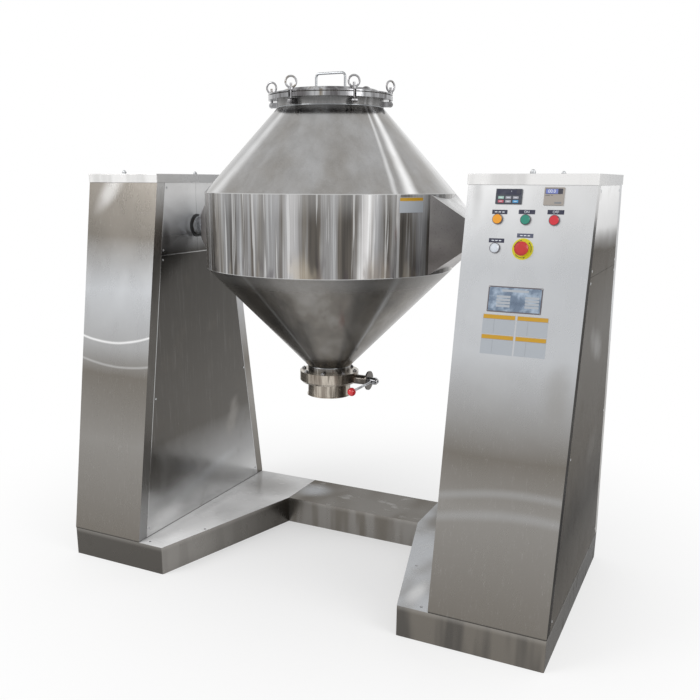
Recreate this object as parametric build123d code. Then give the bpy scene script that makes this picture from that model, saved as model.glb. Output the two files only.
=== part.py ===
from build123d import *
from math import atan, cos, sin, sqrt
import os

# Double cone mixer: a drum of about 300 litres that turns between two sheet-metal columns.
# Millimetres. X runs along the trunnion axis, Y to the back and Z up.
# The origin is the middle of the footprint, on the floor.

# Columns and plinth
clear_span = 1120.0          # between the inner faces of the columns
left_width = 304.0
right_width = 364.0          # the wider column holds the drive
column_above_axis = 185.0    # top of the columns above the trunnion axis
column_top_depth = 444.0
plinth_height = 105.0
plinth_depth = 876.0
foot_reach_front = 102.0     # plinth beyond the column's inner face, at the front
foot_reach_back = 272.0      # the same at the rear beam
beam_depth = 238.0
plinth_sheet = 4.0
cover_sheet = 3.0
return_width = 42.0          # side strips of the front and rear covers
joint_gap = 1.0              # hairline between neighbouring covers
fold_radius = 4.0            # outside of every folded sheet corner
seam_below_axis = 95.0       # seam of the inner and outer sheets below the trunnion axis
cap_sheet = 2.0
cap_rim = 30.0
cap_gap = 0.5
cap_edge = 1.5               # rounding along the top of the cap

# Frame hidden inside the covers
post_width = 40.0
post_depth = 63.0
tube_wall = 4.0
rail_height = 50.0
top_rail = 24.0
cross_rail = 24.0
base_tube = 60.0
base_gap = 1.0               # base tubes to the plinth skirts
base_clearance = 3.0         # floor to the underside of the base frame
bearing_beam_width = 90.0
bearing_beam_height = 60.0

# Drum
axis_height = 1225.0         # trunnion axis above the floor
drum_radius = 427.0
band_height = 250.0
wall = 5.0
neck_radius = 178.0
upper_cone_height = 271.0
neck_height = 23.0
outlet_radius = 77.0
lower_cone_height = 354.0
outlet_neck_height = 25.0
weld_gap = 0.2               # between curved faces that are welded to each other
overshoot = 1.0              # how far a cut runs past the faces that it opens

# Trunnions
box_half_base = 124.0        # housing on the band, half its side
box_half_end = 42.0
box_root = 40.0              # housing carried back over the curve of the band
box_sheet = 3.0
hub_radius = 60.0
hub_length = 20.0
collar_radius = 42.0
collar_length = 23.0
collar_gap = 25.0            # collar to the column's inner face
shaft_radius = 35.0
seal_radius = 42.0
seal_length = 12.0
seal_proud = 4.0
seal_bevel = 2.0
running_gap = 0.3
bearing_fit = 0.05
bearing_radius = 50.0
bearing_width = 50.0
block_offset = 50.0          # bearing centre behind the column's inner face
block_width = 46.0
block_length = 210.0
block_foot = 24.0
block_ring = 66.0
block_height = 80.0          # beam top to the axis
block_bolt_spacing = 170.0
block_bolt_radius = 9.0
shaft_end = 22.0             # shaft beyond the bearing

# Lid and swing bolts
flange_radius = 207.0
flange_thickness = 13.0
gasket_thickness = 3.0
gasket_width = 14.0
gasket_inset = 2.0           # gasket's bore inside the neck's outer face
lid_thickness = 4.0
lid_rise = 12.0
lid_dish_radius = 158.0
lid_dish_slope = 12.0
bolt_count = 6
bolt_phase = 18.0            # degrees from X
bolt_circle = 200.0
bolt_radius = 4.0
notch_gap = 1.0
pivot_drop = 12.0            # pivot below the underside of the neck flange
bolt_eye_radius = 9.0
bolt_eye_width = 8.0
lug_thickness = 4.0
lug_side_gap = 0.5
lug_radius = 8.0
pin_radius = 3.0
pin_fit = 0.06
pin_head_radius = 5.0
pin_head = 2.5
nut_gap = 1.2
nut_radius = 8.0
nut_height = 6.0
ring_radius = 17.0           # eye nut ring, middle of its wire
ring_wire = 3.2
bolt_stub = 14.0             # bolt end above the nut
thread_gap = 0.1
nut_turns = (-43.0, 30.0, -60.0, 77.0, 38.0, -22.0)
handle_width = 107.0
handle_height = 60.0
handle_wire = 4.0
handle_bend = 12.0

# Outlet valve
valve_radius = 106.0
valve_flange = 6.0
valve_body_height = 35.0
valve_chamfer = 8.0
spout_length = 48.0
spout_wall = 2.0
spout_lip = 3.0
seat_height = 22.0
disc_gap = 0.3
disc_thickness = 8.0
disc_hub_radius = 11.0
stem_radius = 8.0
stem_fit = 0.06
stem_foot = 12.0             # stem beyond the bore, on the far side
disc_hub_inset = 12.0        # hub's ends inside the rim
stem_housing_radius = 17.0
stem_housing_length = 48.6
locking_plate = 5.0
locking_plate_radius = 34.0
lever_gap = 0.4
lever_hub_radius = 13.0
lever_hub_length = 26.0
lever_radius = 4.5
lever_length = 178.0
knob_radius = 14.5
knob_depth = 9.0

# Drive
mount_plate_reach = 185.0    # from the column's inner face
mount_plate = 12.0
mount_half_width = 125.0
mount_below = 125.0
mount_above = 118.0
mount_rail_height = 40.0
mount_hole_gap = 8.0
reducer_depth = 106.0
reducer_half_width = 88.0
reducer_back = 128.0         # worm housing behind the trunnion axis
reducer_below = 130.0
reducer_above = 78.0
reducer_fillet = 18.0
reducer_lid = 4.0
output_radius = 22.0
output_entry = 20.0
coupling_radius = 55.0
coupling_half = 32.0
coupling_gap = 4.0
spider_inset = 2.0
coupling_reach = 85.0        # first half behind the column's inner face
worm_offset = 60.0           # motor axis behind the trunnion axis
motor_flange_radius = 66.0
motor_flange = 12.0
motor_radius = 58.0
motor_length = 250.0
motor_fin = 4.0
motor_fin_width = 4.0
motor_fin_count = 12
cowl_length = 55.0
cowl_overlap = 8.0
cowl_sheet = 2.0
terminal_width = 80.0
terminal_height = 90.0
terminal_depth = 34.0

# Operator panel
panel_drop = 28.0            # top of the column to the panel's zero line
button_spacing = 80.0
button_shift = 5.2           # row of buttons off the column's middle
button_row = 98.6            # down the slope from the zero line
lower_row = 180.0
panel_hole_gap = 0.3
button_cap_radius = 13.0
plunger_radius = 9.7
bezel_wall = 1.6
bezel_floor = 1.5
bezel_height = 6.0
barrel_wall = 1.2
barrel_length = 28.0
button_travel = 3.0
travel_gap = 0.7
cap_proud = 4.0
cap_bevel = 1.0
lens_dome_radius = 9.0
lens_shoulder = 3.0
lens_dome = 4.0
estop_plate_radius = 30.0
estop_plate = 1.5
estop_collar = 6.0
estop_collar_radius = 14.0
estop_radius = 20.0
estop_height = 12.0
estop_step = 3.5
estop_crown = 5.0
estop_travel = 4.5
keypad_width = 75.0
keypad_height = 42.5
keypad_left = 59.0           # keypad centre left of the column's middle
keypad_row = 35.3
keypad_depth = 40.0
timer_width = 55.0
timer_height = 49.0
timer_right = 67.3
timer_row = 33.5
timer_depth = 58.0
device_lip = 4.0             # cut-out inside the device's front frame
device_proud = 5.0
device_fillet = 2.0
device_bevel = 1.0
device_gap = 0.5
control_box_width = 256.0
control_box_height = 212.0
control_box_depth = 90.0
control_box_top = 3.0
control_sheet = 1.5

# Fasteners
screw_radius = 4.0
screw_proud = 1.2
screw_inset = 12.0           # beyond the edge of the return
screw_rise = 17.0            # above and below a seam
foot_screw_rise = 34.0       # above the plinth
cap_nut_radius = 8.0
cap_nut_height = 6.0
cap_nut_dome = 6.5
cap_nut_inset = 12.0

# Derived places
column_height = axis_height + column_above_axis
cover_seam_height = axis_height - seam_below_axis
lean = (plinth_depth - column_top_depth) / 2 / (column_height - plinth_height)
lean_angle = atan(lean)
sheet_y = cover_sheet / cos(lean_angle)
column_roof = column_height - cap_sheet
total_length = left_width + clear_span + right_width
drum_x = left_width + clear_span / 2 - total_length / 2
left_inner = drum_x - clear_span / 2
right_inner = drum_x + clear_span / 2
columns = {"left": (left_inner, -1, left_width), "right": (right_inner, 1, right_width)}
beam_front = plinth_depth / 2 - beam_depth
band_top = axis_height + band_height / 2
band_bottom = axis_height - band_height / 2
neck_foot = band_top + upper_cone_height
neck_top = neck_foot + neck_height
flange_top = neck_top + flange_thickness
lid_seat = flange_top + gasket_thickness
lid_top = lid_seat + lid_thickness
neck_bore = neck_radius - wall
pivot_height = neck_top - pivot_drop
nut_seat = lid_top + nut_gap
nut_top = nut_seat + nut_height
outlet_top = band_bottom - lower_cone_height
valve_top = outlet_top - outlet_neck_height
valve_foot = valve_top - valve_body_height
spout_foot = valve_foot - spout_length
stem_height = valve_top - valve_body_height / 2
outlet_bore = outlet_radius - wall
spout_bore = outlet_radius - spout_wall
disc_radius = outlet_bore - disc_gap
stem_housing_end = valve_radius + stem_housing_length
stem_end = spout_bore + stem_foot
lever_start = stem_housing_end + locking_plate + lever_gap
lever_end = lever_length - knob_radius + knob_depth
column_reach = clear_span / 2
box_end_reach = column_reach - collar_gap - collar_length
shaft_reach = column_reach + block_offset + bearing_width / 2 + shaft_end
coupling_start = column_reach + coupling_reach
coupling_middle = coupling_start + coupling_half
coupling_end = coupling_middle + coupling_gap + coupling_half
reducer_face = column_reach + mount_plate_reach + mount_plate
reducer_middle = reducer_face + reducer_depth / 2
motor_top = axis_height - reducer_below
motor_foot = motor_top - motor_flange - motor_length
beam_top = axis_height - block_height
panel_middle = right_inner + right_width / 2
panel_zero = column_height - panel_drop
cap_lift = bezel_floor + button_travel + travel_gap
estop_lift = estop_collar + estop_travel + travel_gap
barrel_bore = plunger_radius + running_gap
barrel_radius = barrel_bore + barrel_wall
buttons = {"yellow_button": -1, "green_button": 0, "red_button": 1}


def half_depth(height):
    # From the middle to the sloping front or rear face at this height
    return plinth_depth / 2 - (height - plinth_height) * lean


panel = Plane(origin=(panel_middle, -half_depth(panel_zero), panel_zero), x_dir=(1, 0, 0),
              z_dir=(0, -cos(lean_angle), sin(lean_angle)))


# Working shapes

def prism(points, x_from, x_to):
    # Outline in Y and Z, run along X
    side = Plane(origin=(min(x_from, x_to), 0, 0), x_dir=(0, 1, 0), z_dir=(1, 0, 0))
    return extrude(side * make_face(Polyline(*points, close=True)), abs(x_to - x_from))


def upright(points, z_from, z_to):
    # Outline in X and Y, run upwards
    return extrude(Pos(0, 0, z_from) * make_face(Polyline(*points, close=True)), z_to - z_from)


def block(x_from, x_to, y_from, y_to, z_from, z_to):
    middle = Pos((x_from + x_to) / 2, (y_from + y_to) / 2, (z_from + z_to) / 2)
    return middle * Box(abs(x_to - x_from), abs(y_to - y_from), abs(z_to - z_from))


def rod_x(radius, x_from, x_to, y=0.0, z=axis_height):
    return Pos((x_from + x_to) / 2, y, z) * Rot(0, 90, 0) * Cylinder(radius, abs(x_to - x_from))


def rod_y(radius, y_from, y_to, x=0.0, z=0.0):
    return Pos(x, (y_from + y_to) / 2, z) * Rot(90, 0, 0) * Cylinder(radius, abs(y_to - y_from))


def rod_z(radius, z_from, z_to, x=0.0, y=0.0):
    return Pos(x, y, (z_from + z_to) / 2) * Cylinder(radius, abs(z_to - z_from))


def turned(points, x=drum_x, y=0.0):
    # Outline of radius and height, turned about an upright axis
    return Pos(x, y, 0) * revolve(Plane.XZ * make_face(Polyline(*points, close=True)), Axis.Z)


def turned_x(points):
    # Outline of X and radius, turned about the trunnion axis
    return Pos(drum_x, 0, axis_height) * revolve(make_face(Polyline(*points, close=True)), Axis.X)


def ring(inner, outer, z_from, z_to):
    return turned([(inner, z_from), (outer, z_from), (outer, z_to), (inner, z_to)])


def at_bolt(k, shape):
    # A shape that is drawn with X pointing out of the drum, turned to one swing bolt
    return Pos(drum_x, 0, 0) * Rot(0, 0, bolt_phase + 360 / bolt_count * k) * shape


def around_drum(shape):
    return [at_bolt(k, shape) for k in range(bolt_count)]


def on_panel(shape, x, drop, out=0.0):
    # Places a shape on the sloping front, its Z pointing outwards
    return panel * Pos(x, -drop, out) * shape


def group(*shapes):
    return Compound(children=[piece for shape in shapes for piece in shape.solids()])


def save(shape, name):
    export_step(shape, "parts/" + name + ".step")


# Plinth

def plinth_cover(side):
    inner, way, width = columns[side]
    outer = inner + way * width
    front, back, sheet = -plinth_depth / 2, plinth_depth / 2, plinth_sheet
    near, far = inner - way * foot_reach_front, inner - way * foot_reach_back
    run = beam_front - front
    slope = (far - near) / run
    shift = way * sheet * sqrt(1 + slope ** 2)
    shell = upright([(outer, front), (near, front), (far, beam_front), (far, back), (outer, back)],
                    0, plinth_height)
    corners = [edge for edge in shell.edges().filter_by(Axis.Z) if abs(edge.center().X - far) > fold_radius]
    shell = fillet(corners, fold_radius)
    open_end = far - way * overshoot
    hollow = [(outer - way * sheet, front + sheet), (near + slope * sheet + shift, front + sheet),
              (near + slope * (run + sheet) + shift, beam_front + sheet), (open_end, beam_front + sheet),
              (open_end, back - sheet), (outer - way * sheet, back - sheet)]
    return shell - upright(hollow, -overshoot, plinth_height - sheet)


def beam_cover():
    left, right = left_inner + foot_reach_back, right_inner - foot_reach_back
    shell = block(left, right, beam_front, plinth_depth / 2, 0, plinth_height)
    return shell - block(left - overshoot, right + overshoot, beam_front + plinth_sheet,
                         plinth_depth / 2 - plinth_sheet, -overshoot, plinth_height - plinth_sheet)


def base_frame():
    # Square tubes under the covers, which carry the columns
    low, high = base_clearance, plinth_height - plinth_sheet
    end = plinth_depth / 2 - plinth_sheet - base_gap
    core = base_tube - tube_wall
    pieces = []
    for inner, way, width in columns.values():
        outer = inner + way * (width - plinth_sheet - base_gap)
        for x in (inner + way * cover_sheet, outer - way * base_tube):
            tube = block(x, x + way * base_tube, -end, end, low, high)
            pieces.append(tube - block(x + way * tube_wall, x + way * core, -end - overshoot,
                                       end + overshoot, low + tube_wall, high - tube_wall))
    left, right = left_inner - cover_sheet, right_inner + cover_sheet
    for y in (beam_front + plinth_sheet + base_gap, end - base_tube):
        tube = block(left, right, y, y + base_tube, low, high)
        pieces.append(tube - block(left - overshoot, right + overshoot, y + tube_wall, y + core,
                                   low + tube_wall, high - tube_wall))
    return group(*pieces)


# Columns

def slope_band(face, z_from, z_to, near, far):
    # Strip in Y and Z that follows the sloping face, between two depths behind it
    return [(face * (half_depth(z_from) - near), z_from), (face * (half_depth(z_to) - near), z_to),
            (face * (half_depth(z_to) - far), z_to), (face * (half_depth(z_from) - far), z_from)]


def folded_cover(side, face):
    inner, way, width = columns[side]
    outer = inner + way * width
    body = prism(slope_band(face, plinth_height, column_roof, 0, return_width), inner, outer)
    front = body.faces().sort_by(Axis.Y)[0 if face < 0 else -1]
    body = fillet(front.edges().filter_by(Axis.X, reverse=True), fold_radius)
    inside = slope_band(face, plinth_height - overshoot, column_roof + overshoot, sheet_y,
                        return_width + overshoot)
    return body - prism(inside, inner + way * cover_sheet, outer - way * cover_sheet)


def side_sheet(face_x, way, z_from, z_to, ends=(-1, 1)):
    # Flat sheet between the returns of the folded covers; an end of 0 stops it at the middle
    inset = return_width + joint_gap

    def edge(end, z):
        return end * (half_depth(z) - inset)

    front, back = ends
    gap_front, gap_back = (joint_gap / 2 if front == 0 else 0), (joint_gap / 2 if back == 0 else 0)
    points = [(edge(front, z_from) + gap_front, z_from), (edge(back, z_from) - gap_back, z_from),
              (edge(back, z_to) - gap_back, z_to), (edge(front, z_to) + gap_front, z_to)]
    return prism(points, face_x, face_x + way * cover_sheet)


def inner_lower_panel(side):
    inner, way, width = columns[side]
    return side_sheet(inner, way, plinth_height, cover_seam_height - joint_gap / 2)


def inner_upper_panels(side):
    # Two halves that close round the shaft seal
    inner, way, width = columns[side]
    low = cover_seam_height + joint_gap / 2
    hole = rod_x(seal_radius + weld_gap, inner - 2 * cover_sheet, inner + 2 * cover_sheet)
    halves = [side_sheet(inner, way, low, column_roof, ends) - hole for ends in ((-1, 0), (0, 1))]
    return group(*halves)


def outer_panels(side):
    inner, way, width = columns[side]
    face_x = inner + way * width
    return group(side_sheet(face_x, -way, plinth_height, cover_seam_height - joint_gap / 2),
                 side_sheet(face_x, -way, cover_seam_height + joint_gap / 2, column_roof))


def column_cap(side):
    inner, way, width = columns[side]
    low = column_height - cap_rim
    reach = half_depth(low) + cap_gap
    near, far = inner - way * cap_gap, inner + way * (width + cap_gap)
    shell = block(near - way * cap_sheet, far + way * cap_sheet, -reach - cap_sheet, reach + cap_sheet,
                  low, column_height)
    shell = fillet(shell.edges().filter_by(Axis.Z), fold_radius)
    shell = fillet(shell.faces().sort_by(Axis.Z)[-1].edges(), cap_edge)
    return shell - block(near, far, -reach, reach, low - overshoot, column_roof)


def column_frame(side):
    inner, way, width = columns[side]
    near, far = inner + way * cover_sheet, inner + way * (width - cover_sheet)
    depth = sheet_y + post_depth
    pieces = []
    for x in (near, far - way * post_width):
        for face in (-1, 1):
            outside = slope_band(face, plinth_height, column_roof, sheet_y, depth)
            inside = slope_band(face, plinth_height - overshoot, column_roof + overshoot,
                                sheet_y + tube_wall, depth - tube_wall)
            post = prism(outside, x, x + way * post_width)
            pieces.append(post - prism(inside, x + way * tube_wall, x + way * (post_width - tube_wall)))

    def between_posts(x_from, x_to, z_from, z_to):
        low, high = [half_depth(z) - depth + tube_wall / 2 for z in (z_from, z_to)]
        return prism([(-low, z_from), (low, z_from), (high, z_to), (-high, z_to)], x_from, x_to)

    def across(z_from, z_to, near_y, far_y):
        # Rails along X that tie the inner posts to the outer posts
        ends = (near + way * (post_width - tube_wall / 2), far - way * (post_width - tube_wall / 2))
        return [block(*ends, face * near_y, face * far_y, z_from, z_to) for face in (-1, 1)]

    for x in (near, far - way * post_width):
        pieces.append(between_posts(x, x + way * post_width, plinth_height, plinth_height + rail_height))
        pieces.append(between_posts(x, x + way * post_width, column_roof - top_rail, column_roof))
    beam_foot = beam_top - bearing_beam_height
    pieces.append(between_posts(near, near + way * bearing_beam_width, beam_foot, beam_top))
    pieces.append(between_posts(far - way * post_width, far, cover_seam_height - rail_height / 2,
                                cover_seam_height + rail_height / 2))
    top_y = half_depth(column_roof) - sheet_y
    pieces += across(column_roof - top_rail, column_roof, top_y - cross_rail, top_y)
    foot_y = half_depth(plinth_height + rail_height) - sheet_y
    pieces += across(plinth_height, plinth_height + rail_height, foot_y - cross_rail, foot_y)
    if side == "right":
        pieces += reducer_mount(across)
    frame = pieces[0]
    for piece in pieces[1:]:
        frame = frame + piece
    return frame


def reducer_mount(across):
    # Upright plate that carries the reducer, tied to the posts by two rails
    low = axis_height - mount_below
    rail_top = low + mount_rail_height
    inner_y = half_depth(rail_top) - sheet_y - post_depth
    x_from = drum_x + column_reach + mount_plate_reach
    wide = inner_y + tube_wall
    half, high = mount_half_width, axis_height + mount_above
    outline = [(-wide, low), (wide, low), (wide, rail_top), (half, rail_top),
               (half, high), (-half, high), (-half, rail_top), (-wide, rail_top)]
    plate = prism(outline, x_from, x_from + mount_plate)
    hole = rod_x(coupling_radius + mount_hole_gap, x_from - overshoot, x_from + mount_plate + overshoot)
    return [plate - hole] + across(low, rail_top, inner_y, inner_y + cross_rail)


def screw(face_x, way, y, z):
    # Low dome head standing on a side panel, way being the direction it faces
    return rod_x(screw_radius, face_x, face_x + way * screw_proud, y, z)


def cover_fasteners():
    pieces = []
    for inner, way, width in columns.values():
        for face_x, facing in ((inner, -way), (inner + way * width, way)):
            middle = (plinth_height + cover_seam_height) / 2
            for z in (plinth_height + foot_screw_rise, middle, cover_seam_height - screw_rise,
                      cover_seam_height + screw_rise, column_height - cap_rim - screw_rise):
                y = half_depth(z) - return_width - joint_gap - screw_inset
                pieces += [screw(face_x, facing, -y, z), screw(face_x, facing, y, z)]
        x = inner + way * width / 2
        for face in (-1, 1):
            y = face * (half_depth(column_height - cap_rim) - cap_nut_inset)
            nut_crown = column_height + cap_nut_height
            dome = Pos(x, y, nut_crown) * Sphere(cap_nut_dome)
            dome = dome - rod_z(cap_nut_radius, column_height - cap_nut_dome, nut_crown, x, y)
            pieces.append(rod_z(cap_nut_radius, column_height, nut_crown, x, y) + dome)
    return group(*pieces)


# Bearings and drive

def pillow_block(way):
    x = drum_x + way * (column_reach + block_offset)
    x_from, x_to = x - block_width / 2, x + block_width / 2
    foot = block(x_from, x_to, -block_length / 2, block_length / 2, beam_top, beam_top + block_foot)
    body = foot + block(x_from, x_to, -block_ring, block_ring, beam_top, axis_height)
    body = body + rod_x(block_ring, x_from, x_to)
    for y in (-block_bolt_spacing / 2, block_bolt_spacing / 2):
        body = body - rod_z(block_bolt_radius, beam_top - overshoot, beam_top + block_foot + overshoot, x, y)
    return body - rod_x(bearing_radius + weld_gap, x_from - overshoot, x_to + overshoot)


def bearing_insert(way):
    x = way * (column_reach + block_offset)
    x_from, x_to = x - bearing_width / 2, x + bearing_width / 2
    bore = shaft_radius + bearing_fit
    return turned_x([(x_from, bore), (x_to, bore), (x_to, bearing_radius), (x_from, bearing_radius)])


def shaft_seal(way):
    x_from = way * (column_reach - seal_proud)
    x_to = x_from + way * seal_length
    bore = shaft_radius + running_gap
    bevel_end = x_from + way * seal_bevel
    return turned_x([(x_from, bore), (x_to, bore), (x_to, seal_radius), (bevel_end, seal_radius),
                     (x_from, seal_radius - seal_bevel)])


def gear_reducer():
    x_from, x_to = drum_x + reducer_face, drum_x + reducer_face + reducer_depth
    body = block(x_from, x_to, -reducer_half_width, reducer_back, motor_top, axis_height + reducer_above)
    body = fillet(body.edges().filter_by(Axis.X), reducer_fillet)
    cover = rod_x(reducer_above - reducer_fillet, x_to, x_to + reducer_lid)
    bore = rod_x(output_radius + running_gap, x_from - overshoot, x_from + output_entry + overshoot)
    return body + cover - bore


def drive_motor():
    x, y = drum_x + reducer_middle, worm_offset
    body_top = motor_top - motor_flange
    body = rod_z(motor_flange_radius, body_top, motor_top, x, y)
    body = body + rod_z(motor_radius, motor_foot, body_top, x, y)
    fin = Pos(motor_radius, 0, 0) * Box(2 * motor_fin, motor_fin_width, motor_length - 2 * motor_flange)
    middle = Pos(x, y, motor_foot + motor_length / 2)
    for k in range(motor_fin_count):
        body = body + middle * Rot(0, 0, 360 / motor_fin_count * (k + 0.5)) * fin
    near, box_top = y + motor_radius - motor_fin, body_top - motor_flange
    box = block(x - terminal_width / 2, x + terminal_width / 2, near, near + motor_fin + terminal_depth,
                box_top - terminal_height, box_top)
    return body + box


def motor_fan_cowl():
    x, y = drum_x + reducer_middle, worm_offset
    bore, low, high = motor_radius + weld_gap, motor_foot - cowl_length, motor_foot + cowl_overlap
    cowl = rod_z(bore + cowl_sheet, low, high, x, y)
    return cowl - rod_z(bore, low + cowl_sheet, high + overshoot, x, y)


def shaft_coupling():
    first = turned_x([(coupling_start, shaft_radius + weld_gap), (coupling_middle, shaft_radius + weld_gap),
                      (coupling_middle, coupling_radius), (coupling_start, coupling_radius)])
    start = coupling_middle + coupling_gap
    second = turned_x([(start, output_radius + weld_gap), (coupling_end, output_radius + weld_gap),
                       (coupling_end, coupling_radius), (start, coupling_radius)])
    low, high, rim = coupling_middle + weld_gap, start - weld_gap, coupling_radius - spider_inset
    spider = turned_x([(low, shaft_radius), (high, shaft_radius), (high, rim), (low, rim)])
    output = rod_x(output_radius, drum_x + start, drum_x + reducer_face + output_entry)
    return group(first, second, spider, output)


# Drum

def cone_shell(wide, wide_z, narrow, narrow_z, end_z):
    # Cone of even wall between two outer radii, then a straight neck up or down to end_z
    run = narrow_z - wide_z
    side = sqrt((wide - narrow) ** 2 + run ** 2)
    thick = wall * side / abs(run)
    inner_turn = wide_z + run * (wide - thick - (narrow - wall)) / (wide - narrow)
    return turned([(wide, wide_z), (narrow, narrow_z), (narrow, end_z), (narrow - wall, end_z),
                   (narrow - wall, inner_turn), (wide - thick, wide_z)])


def seat_on_band():
    # What a piece that is welded to the band loses, to fit its curve
    return rod_z(drum_radius + weld_gap, band_bottom - overshoot, band_top + overshoot, drum_x)


def trunnion_box(way):
    # Four-sided housing between the band and the shaft collar, hollow, its back shaped to the band
    base = sqrt(drum_radius ** 2 - box_half_base ** 2)
    slope = (box_half_base - box_half_end) / (box_end_reach - base)

    def tapered(inset, end):
        planes = [Plane(origin=(drum_x + way * x, 0, axis_height), x_dir=(0, 1, 0), z_dir=(1, 0, 0))
                  for x in (base, end)]
        halves = [box_half_base - inset, box_half_base - inset - slope * (end - base)]
        root = block(drum_x + way * (base - box_root), drum_x + way * base, -halves[0], halves[0],
                     axis_height - halves[0], axis_height + halves[0])
        return root + loft([place * Rectangle(2 * half, 2 * half) for place, half in zip(planes, halves)])

    outer = tapered(0, box_end_reach)
    inner = tapered(box_sheet * sqrt(1 + slope ** 2), box_end_reach - box_sheet)
    hole = rod_x(shaft_radius + weld_gap, drum_x + way * base, drum_x + way * (box_end_reach + overshoot))
    return outer - inner - hole - seat_on_band()


def stub_shaft(way):
    # Hub seated on the band, shaft through the housing, collar at its end
    hub_start, hub_end = drum_radius - hub_length, drum_radius + hub_length
    collar_start = box_end_reach + weld_gap
    collar_end = collar_start + collar_length
    outline = [(hub_start, 0), (hub_start, hub_radius), (hub_end, hub_radius), (hub_end, shaft_radius),
               (collar_start, shaft_radius), (collar_start, collar_radius), (collar_end, collar_radius),
               (collar_end, shaft_radius), (shaft_reach, shaft_radius), (shaft_reach, 0)]
    shaft = turned_x([(way * x, radius) for x, radius in outline])
    return shaft - seat_on_band()


def bolt_notch(z_from, z_to):
    radius = bolt_radius + notch_gap
    low, high = z_from - overshoot, z_to + overshoot
    slot = block(bolt_circle, flange_radius + overshoot, -radius, radius, low, high)
    return slot + rod_z(radius, low, high, bolt_circle)


def notched(shape, z_from, z_to):
    for notch in around_drum(bolt_notch(z_from, z_to)):
        shape = shape - notch
    return shape


def neck_flange():
    return notched(ring(neck_bore, flange_radius, neck_top, flange_top), neck_top, flange_top)


def lid_gasket():
    bore = neck_radius - gasket_inset
    return ring(bore, bore + gasket_width, flange_top, lid_seat)


def lid():
    foot = lid_dish_radius + lid_dish_slope
    outline = [(0, lid_seat + lid_rise), (lid_dish_radius, lid_seat + lid_rise), (foot, lid_seat),
               (flange_radius, lid_seat), (flange_radius, lid_top), (foot, lid_top),
               (lid_dish_radius, lid_top + lid_rise), (0, lid_top + lid_rise)]
    return notched(turned(outline), lid_seat, lid_top)


def lid_handle():
    half, low = handle_width / 2, lid_top + lid_rise
    high = low + handle_height - handle_wire
    corners = ((-half, low), (-half, high), (half, high), (half, low))
    path = Plane.XZ * FilletPolyline(*corners, radius=handle_bend)
    wire = sweep(Plane(origin=(-half, 0, low), z_dir=(0, 0, 1)) * Circle(handle_wire), path=path)
    return Pos(drum_x, 0, 0) * wire


def bolt_lugs():
    start = bolt_eye_width / 2 + lug_side_gap
    pieces = []
    for way in (-1, 1):
        y_from, y_to = way * start, way * (start + lug_thickness)
        low, high = pivot_height - lug_radius, pivot_height + lug_radius
        ear = block(neck_bore, bolt_circle, y_from, y_to, low, high)
        ear = ear + rod_y(lug_radius, y_from, y_to, bolt_circle, pivot_height)
        ear = ear - rod_y(pin_radius + pin_fit, 0, 2 * y_to, bolt_circle, pivot_height)
        ear = ear - rod_z(neck_radius + weld_gap, neck_foot - neck_height, neck_top)
        pieces += around_drum(ear)
    return group(*pieces)


def lug_pins():
    reach = bolt_eye_width / 2 + lug_side_gap + lug_thickness
    pin = rod_y(pin_radius, -reach - pin_head, reach + pin_head, bolt_circle, pivot_height)
    for way in (-1, 1):
        pin = pin + rod_y(pin_head_radius, way * reach, way * (reach + pin_head), bolt_circle, pivot_height)
    return group(*around_drum(pin))


def swing_bolt(k):
    # Eye bolt that stands in the notches, with its ring nut above the lid
    eye = rod_y(bolt_eye_radius, -bolt_eye_width / 2, bolt_eye_width / 2, bolt_circle, pivot_height)
    bolt = eye + rod_z(bolt_radius, pivot_height, nut_top + bolt_stub, bolt_circle)
    bolt = bolt - rod_y(pin_radius + pin_fit, -bolt_eye_width, bolt_eye_width, bolt_circle, pivot_height)
    ring_height = nut_top + ring_radius
    nut = rod_z(nut_radius, nut_seat, nut_top)
    nut = nut + Pos(0, 0, ring_height) * Rot(0, 90, 0) * Torus(ring_radius, ring_wire)
    nut = nut - rod_z(bolt_radius + thread_gap, nut_seat - overshoot, nut_top + 2 * ring_wire)
    nut = Pos(bolt_circle, 0, 0) * Rot(0, 0, nut_turns[k]) * nut
    return group(at_bolt(k, bolt), at_bolt(k, nut))


# Outlet valve

def outlet_flange():
    return ring(outlet_radius + weld_gap, valve_radius, valve_top, valve_top + valve_flange)


def stem_bore(x_from, x_to):
    return rod_x(stem_radius + stem_fit, drum_x + x_from, drum_x + x_to, 0, stem_height)


def valve_body():
    lip = spout_foot + spout_lip
    body = turned([(spout_bore, valve_top), (valve_radius, valve_top),
                   (valve_radius, valve_foot + valve_chamfer), (valve_radius - valve_chamfer, valve_foot),
                   (outlet_radius, valve_foot), (outlet_radius, lip), (outlet_radius + spout_lip, lip),
                   (outlet_radius + spout_lip, spout_foot), (spout_bore, spout_foot)])
    start, end = drum_x + valve_radius - valve_chamfer, drum_x + stem_housing_end
    housing = rod_x(stem_housing_radius, start, end, 0, stem_height)
    plate = rod_x(locking_plate_radius, end, end + locking_plate, 0, stem_height)
    far_end = -stem_end - overshoot
    return body + housing + plate - stem_bore(far_end, stem_housing_end + locking_plate + overshoot)


def valve_seat():
    low, high = stem_height - seat_height / 2, stem_height + seat_height / 2
    seat = ring(outlet_bore, spout_bore - weld_gap, low, high)
    return seat - stem_bore(-valve_radius, valve_radius)


def valve_disc():
    # Round blade welded to its stem, the rim rounded so that it turns inside the seat
    blade = rod_z(disc_radius, stem_height - disc_thickness / 2, stem_height + disc_thickness / 2, drum_x)
    blade = blade & (Pos(drum_x, 0, stem_height) * Sphere(disc_radius))
    hub_end = disc_radius - disc_hub_inset
    hub = rod_x(disc_hub_radius, drum_x - hub_end, drum_x + hub_end, 0, stem_height)
    stem = rod_x(stem_radius, drum_x - stem_end, drum_x + lever_start + lever_hub_length, 0, stem_height)
    return blade + hub + stem


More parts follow.
